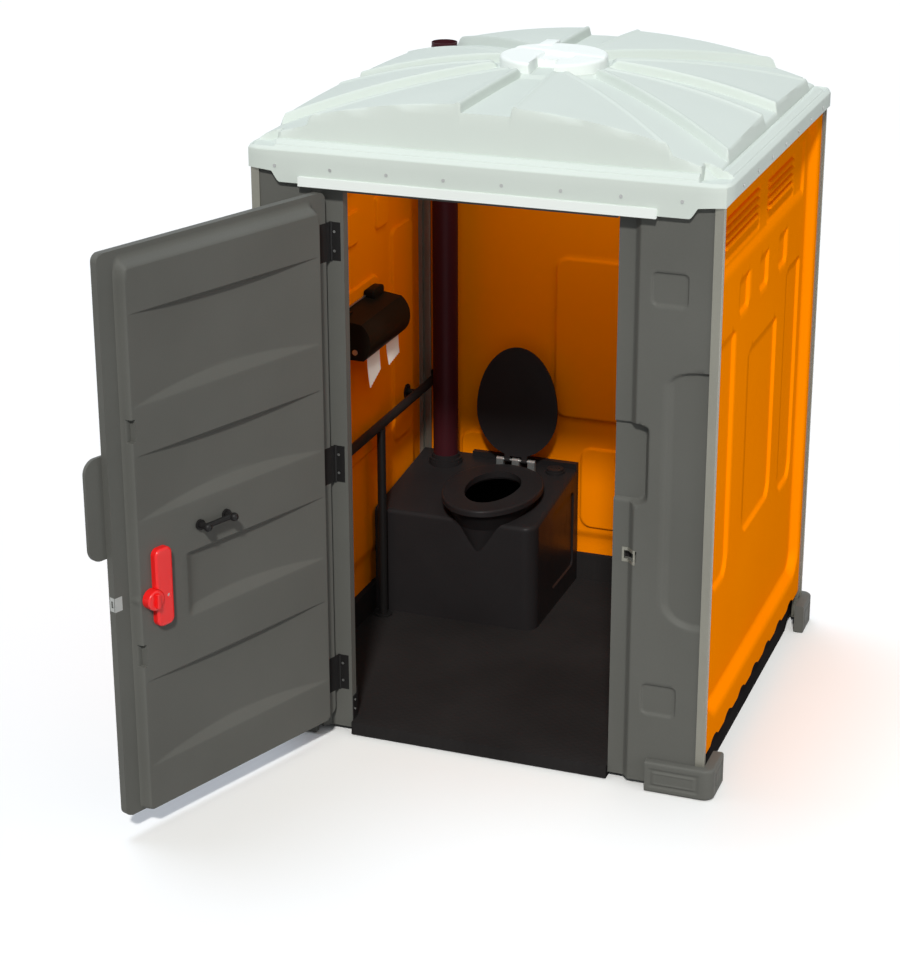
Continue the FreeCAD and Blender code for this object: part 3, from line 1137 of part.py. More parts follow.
def roof():
    """The roof: a deep skirt, a ledge with corner pockets and a crowned top with channels."""
    x, y = SIDE_X + SKIRT_OUT, END_Y + SKIRT_OUT
    skirt = box(-x, x, -y, y, SKIRT_FRONT_Z, SKIRT_TOP)
    skirt = vertical_round(skirt, SKIRT_ROUND, lambda a, b: True)
    skirt = skirt.cut(box(-SIDE_X - TOUCH, SIDE_X + TOUCH, -END_Y - TOUCH, END_Y + TOUCH,
                          SKIRT_FRONT_Z - 1, WALL_TOP))
    step = 690.0
    skirt = skirt.cut(box(-x - 1, x + 1, -END_Y + 20, y + 1, SKIRT_FRONT_Z - 1, SKIRT_SIDE_Z))
    for side in (-1, 1):
        low, high = sorted((side * step, side * (x + 1)))
        skirt = skirt.cut(box(low, high, -y - 1, -END_Y + 21, SKIRT_FRONT_Z - 1, SKIRT_SIDE_Z - 14))

    low = taper(x - 34, y - 18, SKIRT_TOP - 1, CROWN_Z + 30, 0.20)
    dome = low.common(crown(0))
    rib = taper(x - 22, y - 8, SKIRT_TOP - 1, SKIRT_TOP + 9, 0.5)
    body = union([skirt, rib, dome])
    inside = taper(x - 34 - ROOF_SHEET - 6, y - 18 - ROOF_SHEET - 6, WALL_TOP - 1, CROWN_Z, 0.20)
    inside = inside.common(crown(ROOF_SHEET))
    under = inside.cut(crown(CHANNEL_DEPTH + ROOF_SHEET))

    layer = low.common(crown(-5)).cut(crown(CHANNEL_DEPTH))
    for index in range(8):
        angle = index * math.pi / 4
        if index % 2:
            angle = math.copysign(math.atan2(END_Y, SIDE_X), math.sin(angle))
            angle = angle if math.cos(index * math.pi / 4) > 0 else math.pi - angle
        direction = V(math.cos(angle), math.sin(angle), 0)
        across = V(-math.sin(angle), math.cos(angle), 0)
        inner, outer_reach = RING_RADIUS - 20, 1100.0
        grow = (CHANNEL_OUTER - CHANNEL_INNER) / 2 * (outer_reach - inner) / (CROWN_REACH - inner)
        half = CHANNEL_INNER / 2
        for extra, target in ((0, 1), (ROOF_SHEET, 2)):
            near, far = half + extra, half + grow + extra
            corners = [direction * inner + across * near, direction * outer_reach + across * far,
                       direction * outer_reach - across * far, direction * inner - across * near]
            wedge = prism([(c.x, c.y) for c in corners], SKIRT_TOP - 9, CROWN_Z + 60)
            if target == 1:
                body = body.cut(wedge.common(layer))
            else:
                inside = inside.cut(wedge.common(under))
    for sx in (-1, 1):
        for sy in (-1, 1):
            x0, x1 = sorted((sx * (x - 14), sx * (x - 14 - POCKET)))
            y0, y1 = sorted((sy * (y - 14), sy * (y - 14 - POCKET)))
            t = ROOF_SHEET
            body = body.cut(box(x0, x1, y0, y1, POCKET_FLOOR, CROWN_Z + 60))
            inside = inside.cut(box(x0 - t, x1 + t, y0 - t, y1 + t, WALL_TOP - 2, CROWN_Z + 60))
    inside = inside.cut(tube(V(0, 0, SKIRT_FRONT_Z), Z_AXIS, RING_RADIUS, RING_HOLE - 1, 500).cut(
        crown(CHANNEL_DEPTH + ROOF_SHEET)))
    body = body.cut(inside)
    body = body.cut(rod(V(0, 0, SKIRT_FRONT_Z), Z_AXIS, RING_HOLE, 500))
    body = body.cut(rod(V(PIPE_X, PIPE_Y, SKIRT_FRONT_Z), Z_AXIS, PIPE_RADIUS + TOUCH, 500))
    holes, heads = rivets()
    body = body.cut(holes)
    save("roof_shell", body.removeSplitter())
    save("roof_rivets", heads)

    ring = tube(V(0, 0, CROWN_Z - CHANNEL_DEPTH - 30), Z_AXIS, RING_RADIUS, RING_HOLE,
                RING_TOP - CROWN_Z + CHANNEL_DEPTH + 30)
    ring = ring.makeChamfer(9.0, [edge for edge in ring.Edges
                                  if edge.BoundBox.ZMin > RING_TOP - 1
                                  and edge.BoundBox.XLength > 2 * RING_HOLE + 10])
    below = tube(V(0, 0, CROWN_Z - 80), Z_AXIS, RING_RADIUS + 1, RING_HOLE - 1, 80)
    ring = ring.cut(below.common(crown(0)))
    save("roof_ring", ring)
    lens = rod(V(0, 0, CROWN_Z - CHANNEL_DEPTH - 6), Z_AXIS, RING_HOLE - TOUCH, 6)
    save("roof_lens", lens)
    strip = box(DRIP_FROM, DRIP_TO, -y - 12, -y, SKIRT_FRONT_Z - 6, SKIRT_FRONT_Z + 24)
    strip = strip.cut(box(DRIP_FROM - 1, DRIP_TO + 1, -y - 9, -y + 1, SKIRT_FRONT_Z - 3, SKIRT_FRONT_Z + 25))
    back = box(DRIP_FROM, DRIP_TO, -y - 2, -y, SKIRT_FRONT_Z - 6, SKIRT_FRONT_Z + 24)
    strip = union([strip, back])
    save("drip_strip", strip)


def rivets():
    """Rivets through the skirt into the frame: the holes for them and the rivets."""
    places = []
    for index in range(8):
        u = -683.0 + index * RIVET_PITCH
        places.append((V(u, -END_Y - SKIRT_OUT, RIVET_Z), Y_AXIS, END_INSET + SKIRT_OUT))
        places.append((V(u, END_Y + SKIRT_OUT, RIVET_Z + 22), -Y_AXIS, END_INSET + SKIRT_OUT))
    for side in (-1, 1):
        for index in range(7):
            u = -570.0 + index * RIVET_PITCH
            places.append((V(side * (SIDE_X + SKIRT_OUT), u, RIVET_Z + 22), X_AXIS * -side,
                           WALL_INSET + SKIRT_OUT))
    holes, shapes = [], []
    for start, axis, length in places:
        outward = axis * -1
        holes.append(rod(start + outward * 2, axis, RIVET_RADIUS, length + 2 - 0.0))
        shank = rod(start, axis, RIVET_RADIUS, length)
        head = rod(start + outward * 2.5, axis, RIVET_HEAD, 2.5)
        shapes.append(shank.fuse(head).removeSplitter())
    return Part.makeCompound(holes), Part.makeCompound(shapes)


base()
posts()
bumpers()
walls()
bracket_screws = jambs()
door()
grip_screw = latch()
hinges(bracket_screws, grip_screw)
door_fittings()
tank()
lid()
vent()
rail()
dispenser()
roof()
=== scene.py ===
"""Looks of the portable toilet cabin: its finishes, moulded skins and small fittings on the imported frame.

Pieces are worked out in millimetres and made in metres, and the studio is in metres. +X is to the right
seen from the front, +Y runs to the back and +Z is up.
"""

from __future__ import annotations

import json
import logging
import math
from dataclasses import dataclass
from enum import Enum
from typing import Sequence

import bmesh
import bpy
import numpy as np
from mathutils import Matrix, Vector

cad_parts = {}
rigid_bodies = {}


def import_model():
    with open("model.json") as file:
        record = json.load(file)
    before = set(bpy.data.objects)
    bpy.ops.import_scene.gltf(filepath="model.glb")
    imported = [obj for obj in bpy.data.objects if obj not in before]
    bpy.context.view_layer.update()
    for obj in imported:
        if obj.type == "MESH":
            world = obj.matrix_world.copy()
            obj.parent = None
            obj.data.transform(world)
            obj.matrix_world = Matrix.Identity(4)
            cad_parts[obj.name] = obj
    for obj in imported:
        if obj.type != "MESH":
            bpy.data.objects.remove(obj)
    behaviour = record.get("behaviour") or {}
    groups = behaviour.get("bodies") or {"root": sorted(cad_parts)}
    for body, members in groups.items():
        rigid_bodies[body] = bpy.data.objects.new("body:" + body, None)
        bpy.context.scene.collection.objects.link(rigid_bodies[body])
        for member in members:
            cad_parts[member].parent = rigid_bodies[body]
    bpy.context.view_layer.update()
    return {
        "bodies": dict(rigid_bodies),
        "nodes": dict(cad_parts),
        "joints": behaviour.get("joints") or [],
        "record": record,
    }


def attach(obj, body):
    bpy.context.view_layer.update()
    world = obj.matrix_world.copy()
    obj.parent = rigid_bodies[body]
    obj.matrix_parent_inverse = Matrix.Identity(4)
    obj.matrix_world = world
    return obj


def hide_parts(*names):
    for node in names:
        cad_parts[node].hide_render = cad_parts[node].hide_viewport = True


LOG = logging.getLogger("cabin")
Array = np.ndarray
Colour = tuple[float, float, float]
Floats = tuple[float, ...]
Marks = list[tuple[float, float, int]]
Skin = tuple[Array, Array]
Tree = bpy.types.NodeTree
Socket = bpy.types.NodeSocket
Given = Sequence[Socket]

MM = 0.001
WELD = 2e-6  # points closer than this, in metres, are one
SHARP = math.radians(50.0)


def srgb(red: int, green: int, blue: int) -> Colour:
    """Turn an eight-bit display colour into scene-linear values.

    Args:
        red: Red, 0 to 255.
        green: Green, 0 to 255.
        blue: Blue, 0 to 255.

    Returns:
        The linear colour: each channel follows the display curve backwards.
    """
    channel = np.array([red, green, blue]) / 255.0
    linear = np.where(channel <= 0.04045, channel / 12.92, ((channel + 0.055) / 1.055) ** 2.4)
    return tuple(float(value) for value in linear)


class Nodes:
    """Adds nodes to a tree, each fed with values or with the outputs of others."""

    def __init__(self, tree: Tree) -> None:
        """Keep the tree."""
        self.tree = tree

    def add(self, kind: str, values: dict[str | int, object], output: str | int = 0,
            **settings: object) -> Socket:
        """Add a node, feed its inputs and hand over one of its outputs.

        Args:
            kind: The node's type, without the ShaderNode that all types begin with.
            values: For each input, the socket to link it to or the value to set.
            output: The output wanted.
            settings: The node's own settings, made before its inputs are fed.

        Returns:
            That output's socket.
        """
        node = self.tree.nodes.new("ShaderNode" + kind)
        for name, value in settings.items():
            setattr(node, name, value)
        for name, value in values.items():
            if isinstance(value, bpy.types.NodeSocket):
                self.tree.links.new(value, node.inputs[name])
            else:
                node.inputs[name].default_value = value
        return node.outputs[output]

    def math(self, operation: str, *values: Socket | float) -> Socket:
        """The result of a calculation."""
        return self.add("Math", dict(enumerate(values)), operation=operation)

    def share(self, value: Socket, low: float, high: float) -> Socket:
        """How far a value lies between two bounds, held between 0 and 1."""
        return self.add("MapRange", {"From Min": low, "From Max": high, "Value": value})

    def noise(self, place: Socket, scale: Socket | float, detail: float, roughness: float = 0.5) -> Socket:
        """The value of a noise texture at a position."""
        return self.add("TexNoise", {"Vector": place, "Scale": scale, "Detail": detail,
                                     "Roughness": roughness})

    def group(self, name: str, **values: object) -> Socket:
        """What a shared group makes of some values."""
        return self.add("Group", values, node_tree=Groups.get(name))


class Grain(Enum):
    """The kinds of small surface relief that the finishes use."""

    MOULDED = "moulded"
    BRUSHED = "brushed"
    TREAD = "tread"
    TISSUE = "tissue"


class Groups:
    """Shader node groups that several finishes share, made from the object's own coordinates."""

    _built: dict[str, Tree] = {}

    @classmethod
    def get(cls, name: str) -> Tree:
        """Find a group, and build it the first time it is asked for.

        Args:
            name: Name of the group.

        Returns:
            Its node tree.
        """
        if name in cls._built:
            return cls._built[name]
        inputs, output, weave = {
            "mottle": ({"Base": (0.5, 0.5, 0.5), "Tone": (0.4, 0.4, 0.4), "Amount": 0.3}, "Colour",
                       cls._mottle),
            "scuffs": ({"Cover": 0.35}, "Mask", cls._scuffs),
            "moulded": ({"Scale": 420.0}, "Height", cls._moulded),
            "brushed": ({"Scale": 900.0}, "Height", cls._brushed),
            "tread": ({"Scale": 34.0}, "Height", cls._tread),
            "tissue": ({"Scale": 240.0}, "Height", cls._tissue)}[name]
        tree = bpy.data.node_groups.new(name, "ShaderNodeTree")
        for socket, value in inputs.items():
            kind = "NodeSocketColor" if isinstance(value, tuple) else "NodeSocketFloat"
            made = tree.interface.new_socket(name=socket, in_out="INPUT", socket_type=kind)
            made.default_value = (*value, 1.0) if isinstance(value, tuple) else value
        kind = "NodeSocketColor" if output == "Colour" else "NodeSocketFloat"
        tree.interface.new_socket(name=output, in_out="OUTPUT", socket_type=kind)
        nodes = Nodes(tree)
        given = tree.nodes.new("NodeGroupInput").outputs
        result = weave(nodes, nodes.add("TexCoord", {}, "Object"), given)
        tree.links.new(result, tree.nodes.new("NodeGroupOutput").inputs[output])
        cls._built[name] = tree
        return tree

    @staticmethod
    def _mottle(nodes: Nodes, place: Socket, given: Given) -> Socket:
        """Slow drifts of tone with a fine speckle: base goes towards tone by the sum of two noises.

        Args:
            nodes: The group's nodes.
            place: The object's own coordinates.
            given: What the group is given, by name.

        Returns:
            The mixed colour.
        """
        slow, fine = nodes.noise(place, 2.4, 4.0), nodes.noise(place, 260.0, 2.0)
        both = nodes.math("MULTIPLY_ADD", fine, 0.35, slow)
        share = nodes.math("MULTIPLY", nodes.share(both, 0.50, 0.85), given["Amount"])
        return nodes.add("Mix", {"Factor": share, "A": given["Base"], "B": given["Tone"]}, "Result",
                         data_type="RGBA")

    @staticmethod
    def _scuffs(nodes: Nodes, place: Socket, given: Given) -> Socket:
        """Sparse handling marks: thin streaks of a stretched noise, above a threshold.

        Args:
            nodes: The group's nodes.
            place: The object's own coordinates.
            given: What the group is given, by name.

        Returns:
            How marked each point is.
        """
        turned = nodes.add("Mapping", {"Vector": place, "Rotation": (0.4, 0.7, 0.5),
                                       "Scale": (1.0, 7.0, 1.0)})
        streak = nodes.noise(turned, 9.0, 6.0, 0.65)
        return nodes.math("MULTIPLY", nodes.share(streak, 0.56, 0.72), given["Cover"])

    @staticmethod
    def _moulded(nodes: Nodes, place: Socket, given: Given) -> Socket:
        """The skin of a rotational moulding: a fine peel and slow waves, added."""
        peel, waves = nodes.noise(place, given["Scale"], 2.0), nodes.noise(place, 14.0, 1.0)
        return nodes.math("MULTIPLY_ADD", waves, 0.6, peel)

    @staticmethod
    def _brushed(nodes: Nodes, place: Socket, given: Given) -> Socket:
        """Drawn or brushed metal: noise stretched fifty times along Z."""
        drawn = nodes.add("Mapping", {"Vector": place, "Scale": (1.0, 1.0, 0.02)})
        return nodes.noise(drawn, given["Scale"], 2.0)

    @staticmethod
    def _tread(nodes: Nodes, place: Socket, given: Given) -> Socket:
        """Anti-slip floor: small round studs on a turned grid, from a nearly regular cell texture.

        Args:
            nodes: The group's nodes.
            place: The object's own coordinates.
            given: What the group is given, by name.

        Returns:
            The height.
        """
        turned = nodes.add("Mapping", {"Vector": place, "Rotation": (0.0, 0.0, math.radians(45)),
                                       "Scale": (1.0, 1.6, 0.0)})
        cells = nodes.add("TexVoronoi", {"Vector": turned, "Scale": given["Scale"], "Randomness": 0.12})
        return nodes.share(cells, 0.42, 0.22)

    @staticmethod
    def _tissue(nodes: Nodes, place: Socket, given: Given) -> Socket:
        """Embossed tissue: a soft pattern of small cells."""
        return nodes.add("TexVoronoi", {"Vector": place, "Scale": given["Scale"]})


def new_material(name: str) -> tuple[bpy.types.Material, Nodes, Given]:
    """Make a material.

    Args:
        name: Its name.

    Returns:
        The material, its nodes and the inputs of its shader.
    """
    material = bpy.data.materials.new(name)
    material.use_nodes = True
    return material, Nodes(material.node_tree), material.node_tree.nodes["Principled BSDF"].inputs


def new_object(name: str, data: bpy.types.ID) -> bpy.types.Object:
    """Make an object and put it in the scene.

    Args:
        name: Its name.
        data: Its mesh, lamp or camera.

    Returns:
        The object.
    """
    made = bpy.data.objects.new(name, data)
    bpy.context.scene.collection.objects.link(made)
    return made


@dataclass(frozen=True)
class Finish:
    """One finish: its colours, gloss and relief."""

    name: str
    base: Colour
    tone: Colour
    roughness: float = 0.5
    metallic: float = 0.0
    grain: Grain = Grain.MOULDED
    grain_scale: float = 420.0
    depth: float = 0.0004
    strength: float = 0.25
    amount: float = 0.5
    scuff: float = 0.12
    specular: float = 0.5

    def material(self) -> bpy.types.Material:
        """The Blender material of this finish, made once."""
        ready = bpy.data.materials.get(self.name)
        if ready:
            return ready
        material, nodes, inputs = new_material(self.name)
        inputs["Metallic"].default_value = self.metallic
        inputs["Specular IOR Level"].default_value = self.specular
        colour = nodes.group("mottle", Base=(*self.base, 1.0), Tone=(*self.tone, 1.0), Amount=self.amount)
        rough = nodes.math("ADD", nodes.group("scuffs", Cover=self.scuff), self.roughness)
        relief = nodes.group(self.grain.value, Scale=self.grain_scale)
        bump = nodes.add("Bump", {"Strength": self.strength, "Distance": self.depth, "Height": relief})
        for name, source in (("Base Color", colour), ("Roughness", rough), ("Normal", bump)):
            nodes.tree.links.new(source, inputs[name])
        return material


ORANGE = Finish("orange_polyethylene", srgb(254, 138, 0), srgb(248, 128, 0), 0.5, amount=0.35, scuff=0.1,
                specular=0.0)
GREY = Finish("grey_polyethylene", srgb(98, 98, 94), srgb(88, 88, 84), 0.5, strength=0.3, specular=0.08)
BLACK = Finish("black_polyethylene", srgb(40, 38, 39), srgb(30, 28, 29), 0.36, amount=0.6, scuff=0.1,
               specular=0.08)
TREAD = Finish("black_tread", srgb(44, 42, 42), srgb(32, 30, 30), 0.50, grain=Grain.TREAD, grain_scale=34.0,
               depth=0.0016, strength=0.35, amount=0.6, specular=0.0)
PIPE = Finish("maroon_pipe", srgb(62, 24, 30), srgb(46, 16, 22), 0.45, amount=0.4, scuff=0.06, specular=0.12)
ROOF = Finish("milky_roof", srgb(208, 216, 210), srgb(201, 209, 203), 0.55, amount=0.4, scuff=0.05,
              specular=0.03)
TRIM = Finish("white_trim", srgb(238, 243, 240), srgb(230, 236, 233), 0.45, amount=0.3, scuff=0.05,
              specular=0.1)
# Aluminium whose base and tone are tinted warm: painted reflection of the orange walls.
POST_PAINTED_REFLECTION = Finish("aluminium_post_painted_reflection", srgb(142, 140, 130), srgb(126, 124, 115), 0.42, 0.6, Grain.BRUSHED, 900.0,
              depth=0.0002, amount=0.4, specular=0.2)
STEEL = Finish("brushed_steel", srgb(188, 188, 186), srgb(160, 160, 158), 0.34, 0.9, Grain.BRUSHED, 900.0,
               depth=0.0002, amount=0.4)
CHROME = Finish("satin_chrome", srgb(190, 194, 194), srgb(170, 174, 174), 0.30, 0.8, Grain.BRUSHED, 900.0,
                depth=0.0001, strength=0.05, amount=0.2, scuff=0.03)
IRONWORK = Finish("black_painted_steel", srgb(34, 33, 33), srgb(24, 23, 23), 0.40, grain_scale=800.0,
                  depth=0.0003, specular=0.15)
RED = Finish("latch_red", srgb(226, 0, 12), srgb(210, 0, 8), 0.36, amount=0.35, scuff=0.03, specular=0.03)
PALE = Finish("latch_pale_grey", srgb(176, 178, 176), srgb(156, 158, 156), 0.4, amount=0.4)
SMOKE = Finish("smoked_cover", srgb(27, 24, 19), srgb(19, 17, 13), 0.4, scuff=0.05, specular=0.05)
TISSUE = Finish("tissue_paper", srgb(244, 243, 238), srgb(232, 231, 226), 0.85, grain=Grain.TISSUE,
                grain_scale=240.0, depth=0.0005, strength=0.5, amount=0.3, specular=0.2, scuff=0.0)

CORNERS = ("front_left", "front_right", "back_left", "back_right")
NODE_FINISHES: dict[Finish, Sequence[str]] = {
    ORANGE: ("wall_left", "wall_right", "wall_back"),
    GREY: ("jamb_left", "jamb_right", "door_header", "door_outer_skin", "door_inner_skin", "pull_tab",
           *("corner_bumper_" + corner for corner in CORNERS)),
    BLACK: ("waste_tank", "tank_cap", "seat_ring", "seat_lid", "pipe_collar"),
    TREAD: ("floor_pan", "door_sill", "floor_skids"),
    PIPE: ("vent_pipe",),
    ROOF: ("roof_shell", "roof_ring", "roof_lens"),
    TRIM: ("drip_strip",),
    POST_PAINTED_REFLECTION: tuple("corner_post_" + corner for corner in CORNERS),
    STEEL: ("jamb_screws", "door_screws", "roof_rivets", "strike_plate", "latch_bolt",
            "dispenser_hinge_pin", "dispenser_lock", "dispenser_spindle", "latch_spindle"),
    CHROME: ("lid_hinge_blocks", "lid_hinge_pin"),
    IRONWORK: ("grab_rail", "rail_leg", "rail_flanges", "hinge_jamb_leaves", "hinge_door_leaves",
               "hinge_pins", "foot_bracket", "coat_hook"),
    RED: ("latch_grip", "latch_knob", "occupancy_dial"),
    PALE: ("latch_case", "latch_edge_plate"),
    SMOKE: ("dispenser_cover", "dispenser_back"),
    TISSUE: ("paper_roll_front", "paper_roll_rear", "paper_tails"),
}


def ease(share: Array) -> Array:
    """Smooth step: 3t^2 - 2t^3, with t held between 0 and 1."""
    held = np.clip(share, 0.0, 1.0)
    return held * held * (3.0 - 2.0 * held)


def grid(rows: Array, columns: Array) -> Sequence[Array]:
    """Both coordinates of every point where the lines of a grid cross."""
    return np.meshgrid(rows, columns, indexing="ij")


def least(*heights: Array) -> Array:
    """The least of several heights, point by point."""
    return np.minimum.reduce(heights)


def fall(share: Array) -> Array:
    """Quarter circle: the root of 1 - t^2, with t held between 0 and 1."""
    return np.sqrt(np.clip(1.0 - np.clip(share, 0.0, 1.0) ** 2, 0.0, 1.0))


def soft_min(first: Array, second: Array, reach: float) -> Array:
    """The lower of two heights, rounded where they cross: min - h^2 / 4r, with h = max(r - |a - b|, 0)."""
    near = np.maximum(reach - np.abs(first - second), 0.0)
    return np.minimum(first, second) - near * near / (4.0 * reach)


def graded(low: float, high: float, pitch: float, marks: Marks) -> Array:
    """Grid lines no further apart than a pitch, with extra lines over each marked stretch.

    Args:
        low: First line.
        high: Last line.
        pitch: Widest gap between lines.
        marks: Start, end and number of gaps of each stretch that needs its own lines.

    Returns:
        The lines in order; plain lines that crowd a marked one are left out.
    """
    least_gap = 0.4
    extra = np.unique(np.concatenate([[low, high]] + [np.linspace(a, b, n + 1) for a, b, n in marks]))
    extra = extra[(extra >= low) & (extra <= high)]
    extra = extra[np.concatenate([[True], np.diff(extra) > least_gap])]
    plain = np.linspace(low, high, int((high - low) / pitch) + 2)
    gap = np.abs(plain[:, None] - extra[None, :]).min(axis=1)
    return np.unique(np.concatenate([extra, plain[gap > 0.45 * pitch], [high]]))


def cells_within(u_lines: Array, v_lines: Array, across: Floats, along: Floats) -> Array:
    """Which cells of a grid have their middle inside a rectangle, given by its ends along u and v."""
    u, v = ((lines[1:] + lines[:-1]) / 2 for lines in (u_lines, v_lines))
    return (((u > across[0]) & (u < across[1]))[:, None] & ((v > along[0]) & (v < along[1]))[None, :])


def round_corners(u: Array, v: Array, middle: Floats, half: Floats, corner: float) -> tuple[Array, Array]:
    """Round a rectangle's corners: each corner square goes onto a quarter disc, point by point.

    A point keeps its direction from the disc's middle, at a distance of its greater offset.

    Args:
        u: First coordinate of the points.
        v: Second coordinate of the points.
        middle: The rectangle's middle.
        half: Half its size along u and v.
        corner: Radius of the corners.

    Returns:
        Both coordinates, moved.
    """
    over_u = np.maximum(np.abs(u - middle[0]) - (half[0] - corner), 0.0)
    over_v = np.maximum(np.abs(v - middle[1]) - (half[1] - corner), 0.0)
    far = np.hypot(over_u, over_v)
    scale = np.where(far > 0, np.maximum(over_u, over_v) / np.where(far > 0, far, 1.0), 1.0)
    new_u = middle[0] + np.sign(u - middle[0]) * (half[0] - corner + over_u * scale)
    new_v = middle[1] + np.sign(v - middle[1]) * (half[1] - corner + over_v * scale)
    return np.where(over_u > 0, new_u, u), np.where(over_v > 0, new_v, v)


@dataclass(frozen=True)
class Press:
    """A recess pressed into a sheet: a round rectangle whose sides slope over their drafts."""

    left: float
    right: float
    low: float
    high: float
    depth: float
    draft: float = 12.0
    radius: float = 40.0
    drafts: Floats = ()

    def sides(self) -> Floats:
        """The drafts of the left, right, lower and upper sides."""
        return self.drafts or (self.draft,) * 4

    def height(self, u: Array, v: Array) -> Array:
        """What the press takes off the sheet: the depth, eased in over each side's draft and corner.

        Args:
            u: Distance along the sheet.
            v: Distance up it.

        Returns:
            Minus the depth times the eased distance in from the nearest side, in drafts.
        """
        left, right, low, high = self.sides()
        across = np.minimum((u - self.left) / left, (self.right - u) / right)
        along = np.minimum((v - self.low) / low, (self.high - v) / high)
        turn = self.radius / float(np.mean(self.sides()))
        corner = turn - np.hypot(np.maximum(turn - across, 0.0), np.maximum(turn - along, 0.0))
        share = np.where((across < turn) & (along < turn), corner, np.minimum(across, along))
        return -self.depth * ease(share)

    def marks(self) -> tuple[Marks, Marks]:
        """Stretches of grid lines that its sides and corners need, along u and along v."""
        left, right, low, high = self.sides()
        gaps = max(2, int(self.radius / 7))
        both = []
        for start, end, first, last in ((self.left, self.right, left, right),
                                        (self.low, self.high, low, high)):
            stretches = [(start, start + first, 3), (end - last, end, 3),
                         (start + first, start + self.radius, gaps), (end - self.radius, end - last, gaps)]
            both.append([stretch for stretch in stretches if stretch[1] > stretch[0]])
        return both[0], both[1]


def gather(presses: Sequence[Press]) -> tuple[Marks, Marks]:
    """The stretches that several presses need, along u and along v."""
    pairs = [press.marks() for press in presses]
    return sum((pair[0] for pair in pairs), []), sum((pair[1] for pair in pairs), [])


def pressed(presses: Sequence[Press], u: Array, v: Array) -> Array:
    """What several presses take off a sheet together."""
    return sum(press.height(u, v) for press in presses)


def shell(outer: Array, inner: Array, keep: Array | None = None) -> Skin:
    """A closed sheet from its two faces.

    Args:
        outer: Points of the outer face, rows by columns by three.
        inner: Points of the inner face, in the same order.
        keep: Which cells are there; the rest are holes. All of them if left out.

    Returns:
        The points of both faces one after the other, and four corners for each face, with a rim
        round the edge and round each hole.
    """
    rows, columns = outer.shape[:2]
    count = rows * columns
    ids = np.arange(count).reshape(rows, columns)
    if keep is None:
        keep = np.ones((rows - 1, columns - 1), dtype=bool)
    cells = np.stack([ids[:-1, :-1], ids[1:, :-1], ids[1:, 1:], ids[:-1, 1:]], axis=-1)[keep]
    padded = np.pad(keep, 1)
    i, j = np.nonzero(padded[1:-1, 1:] != padded[1:-1, :-1])
    k, m = np.nonzero(padded[1:, 1:-1] != padded[:-1, 1:-1])
    first = np.concatenate([ids[i, j], ids[k, m]])
    second = np.concatenate([ids[i + 1, j], ids[k, m + 1]])
    rim = np.stack([first, second, second + count, first + count], axis=-1)
    points = np.concatenate([outer.reshape(-1, 3), inner.reshape(-1, 3)])
    return points, np.concatenate([cells, cells[:, ::-1] + count, rim])


def swept(rings: Array) -> Skin:
    """A skin over a row of closed rings of points, with a fan to its middle over each end.

    Args:
        rings: Rings by points by three.

    Returns:
        The points and four corners for each face; a fan's faces repeat their middle.
    """
    count, around = rings.shape[:2]
    ids = np.arange(count * around).reshape(count, around)
    ahead = np.roll(ids, -1, axis=1)
    sides = np.stack([ids[:-1], ahead[:-1], ahead[1:], ids[1:]], axis=-1).reshape(-1, 4)
    ends = []
    for row, middle in ((0, count * around), (count - 1, count * around + 1)):
        hub = np.full(around, middle)
        ends.append(np.stack([ids[row], ahead[row], hub, hub], axis=-1))
    middles = np.stack([rings[0].mean(axis=0), rings[-1].mean(axis=0)])
    return np.concatenate([rings.reshape(-1, 3), middles]), np.concatenate([sides] + ends)


def ring(plan: Array, level: float | Array) -> Array:
    """Plan points at a level, or each at its own."""
    return np.column_stack([plan[:, :2], np.broadcast_to(level, len(plan))])


def block(low: Floats, high: Floats, edge: float) -> Skin:
    """A block with rounded edges.

    Args:
        low: Its least x, y and z.
        high: Its greatest x, y and z.
        edge: Radius of its edges.

    Returns:
        Points and faces of its skin, from rings that draw in towards both ends.
    """
    least, most = np.array(low), np.array(high)
    middle, half = (least + most) / 2, (most - least) / 2
    corner = (np.repeat(np.arange(4), 4) + 0.5) * math.pi / 2
    turns = (np.repeat(np.arange(4), 4) + np.tile(np.arange(4) / 3.0, 4)) * math.pi / 2
    centres = np.sign(np.column_stack([np.cos(corner), np.sin(corner)])) * (half[:2] - edge)
    ways = np.column_stack([np.cos(turns), np.sin(turns)])
    rises = np.radians([10.0, 35.0, 60.0, 90.0])
    rings = []
    for rise, way in [(rise, -1.0) for rise in rises] + [(rise, 1.0) for rise in rises[::-1]]:
        level = middle[2] + way * (half[2] - edge * (1.0 - math.cos(rise)))
        rings.append(ring(middle[:2] + centres + edge * math.sin(rise) * ways, level))
    return swept(np.stack(rings))


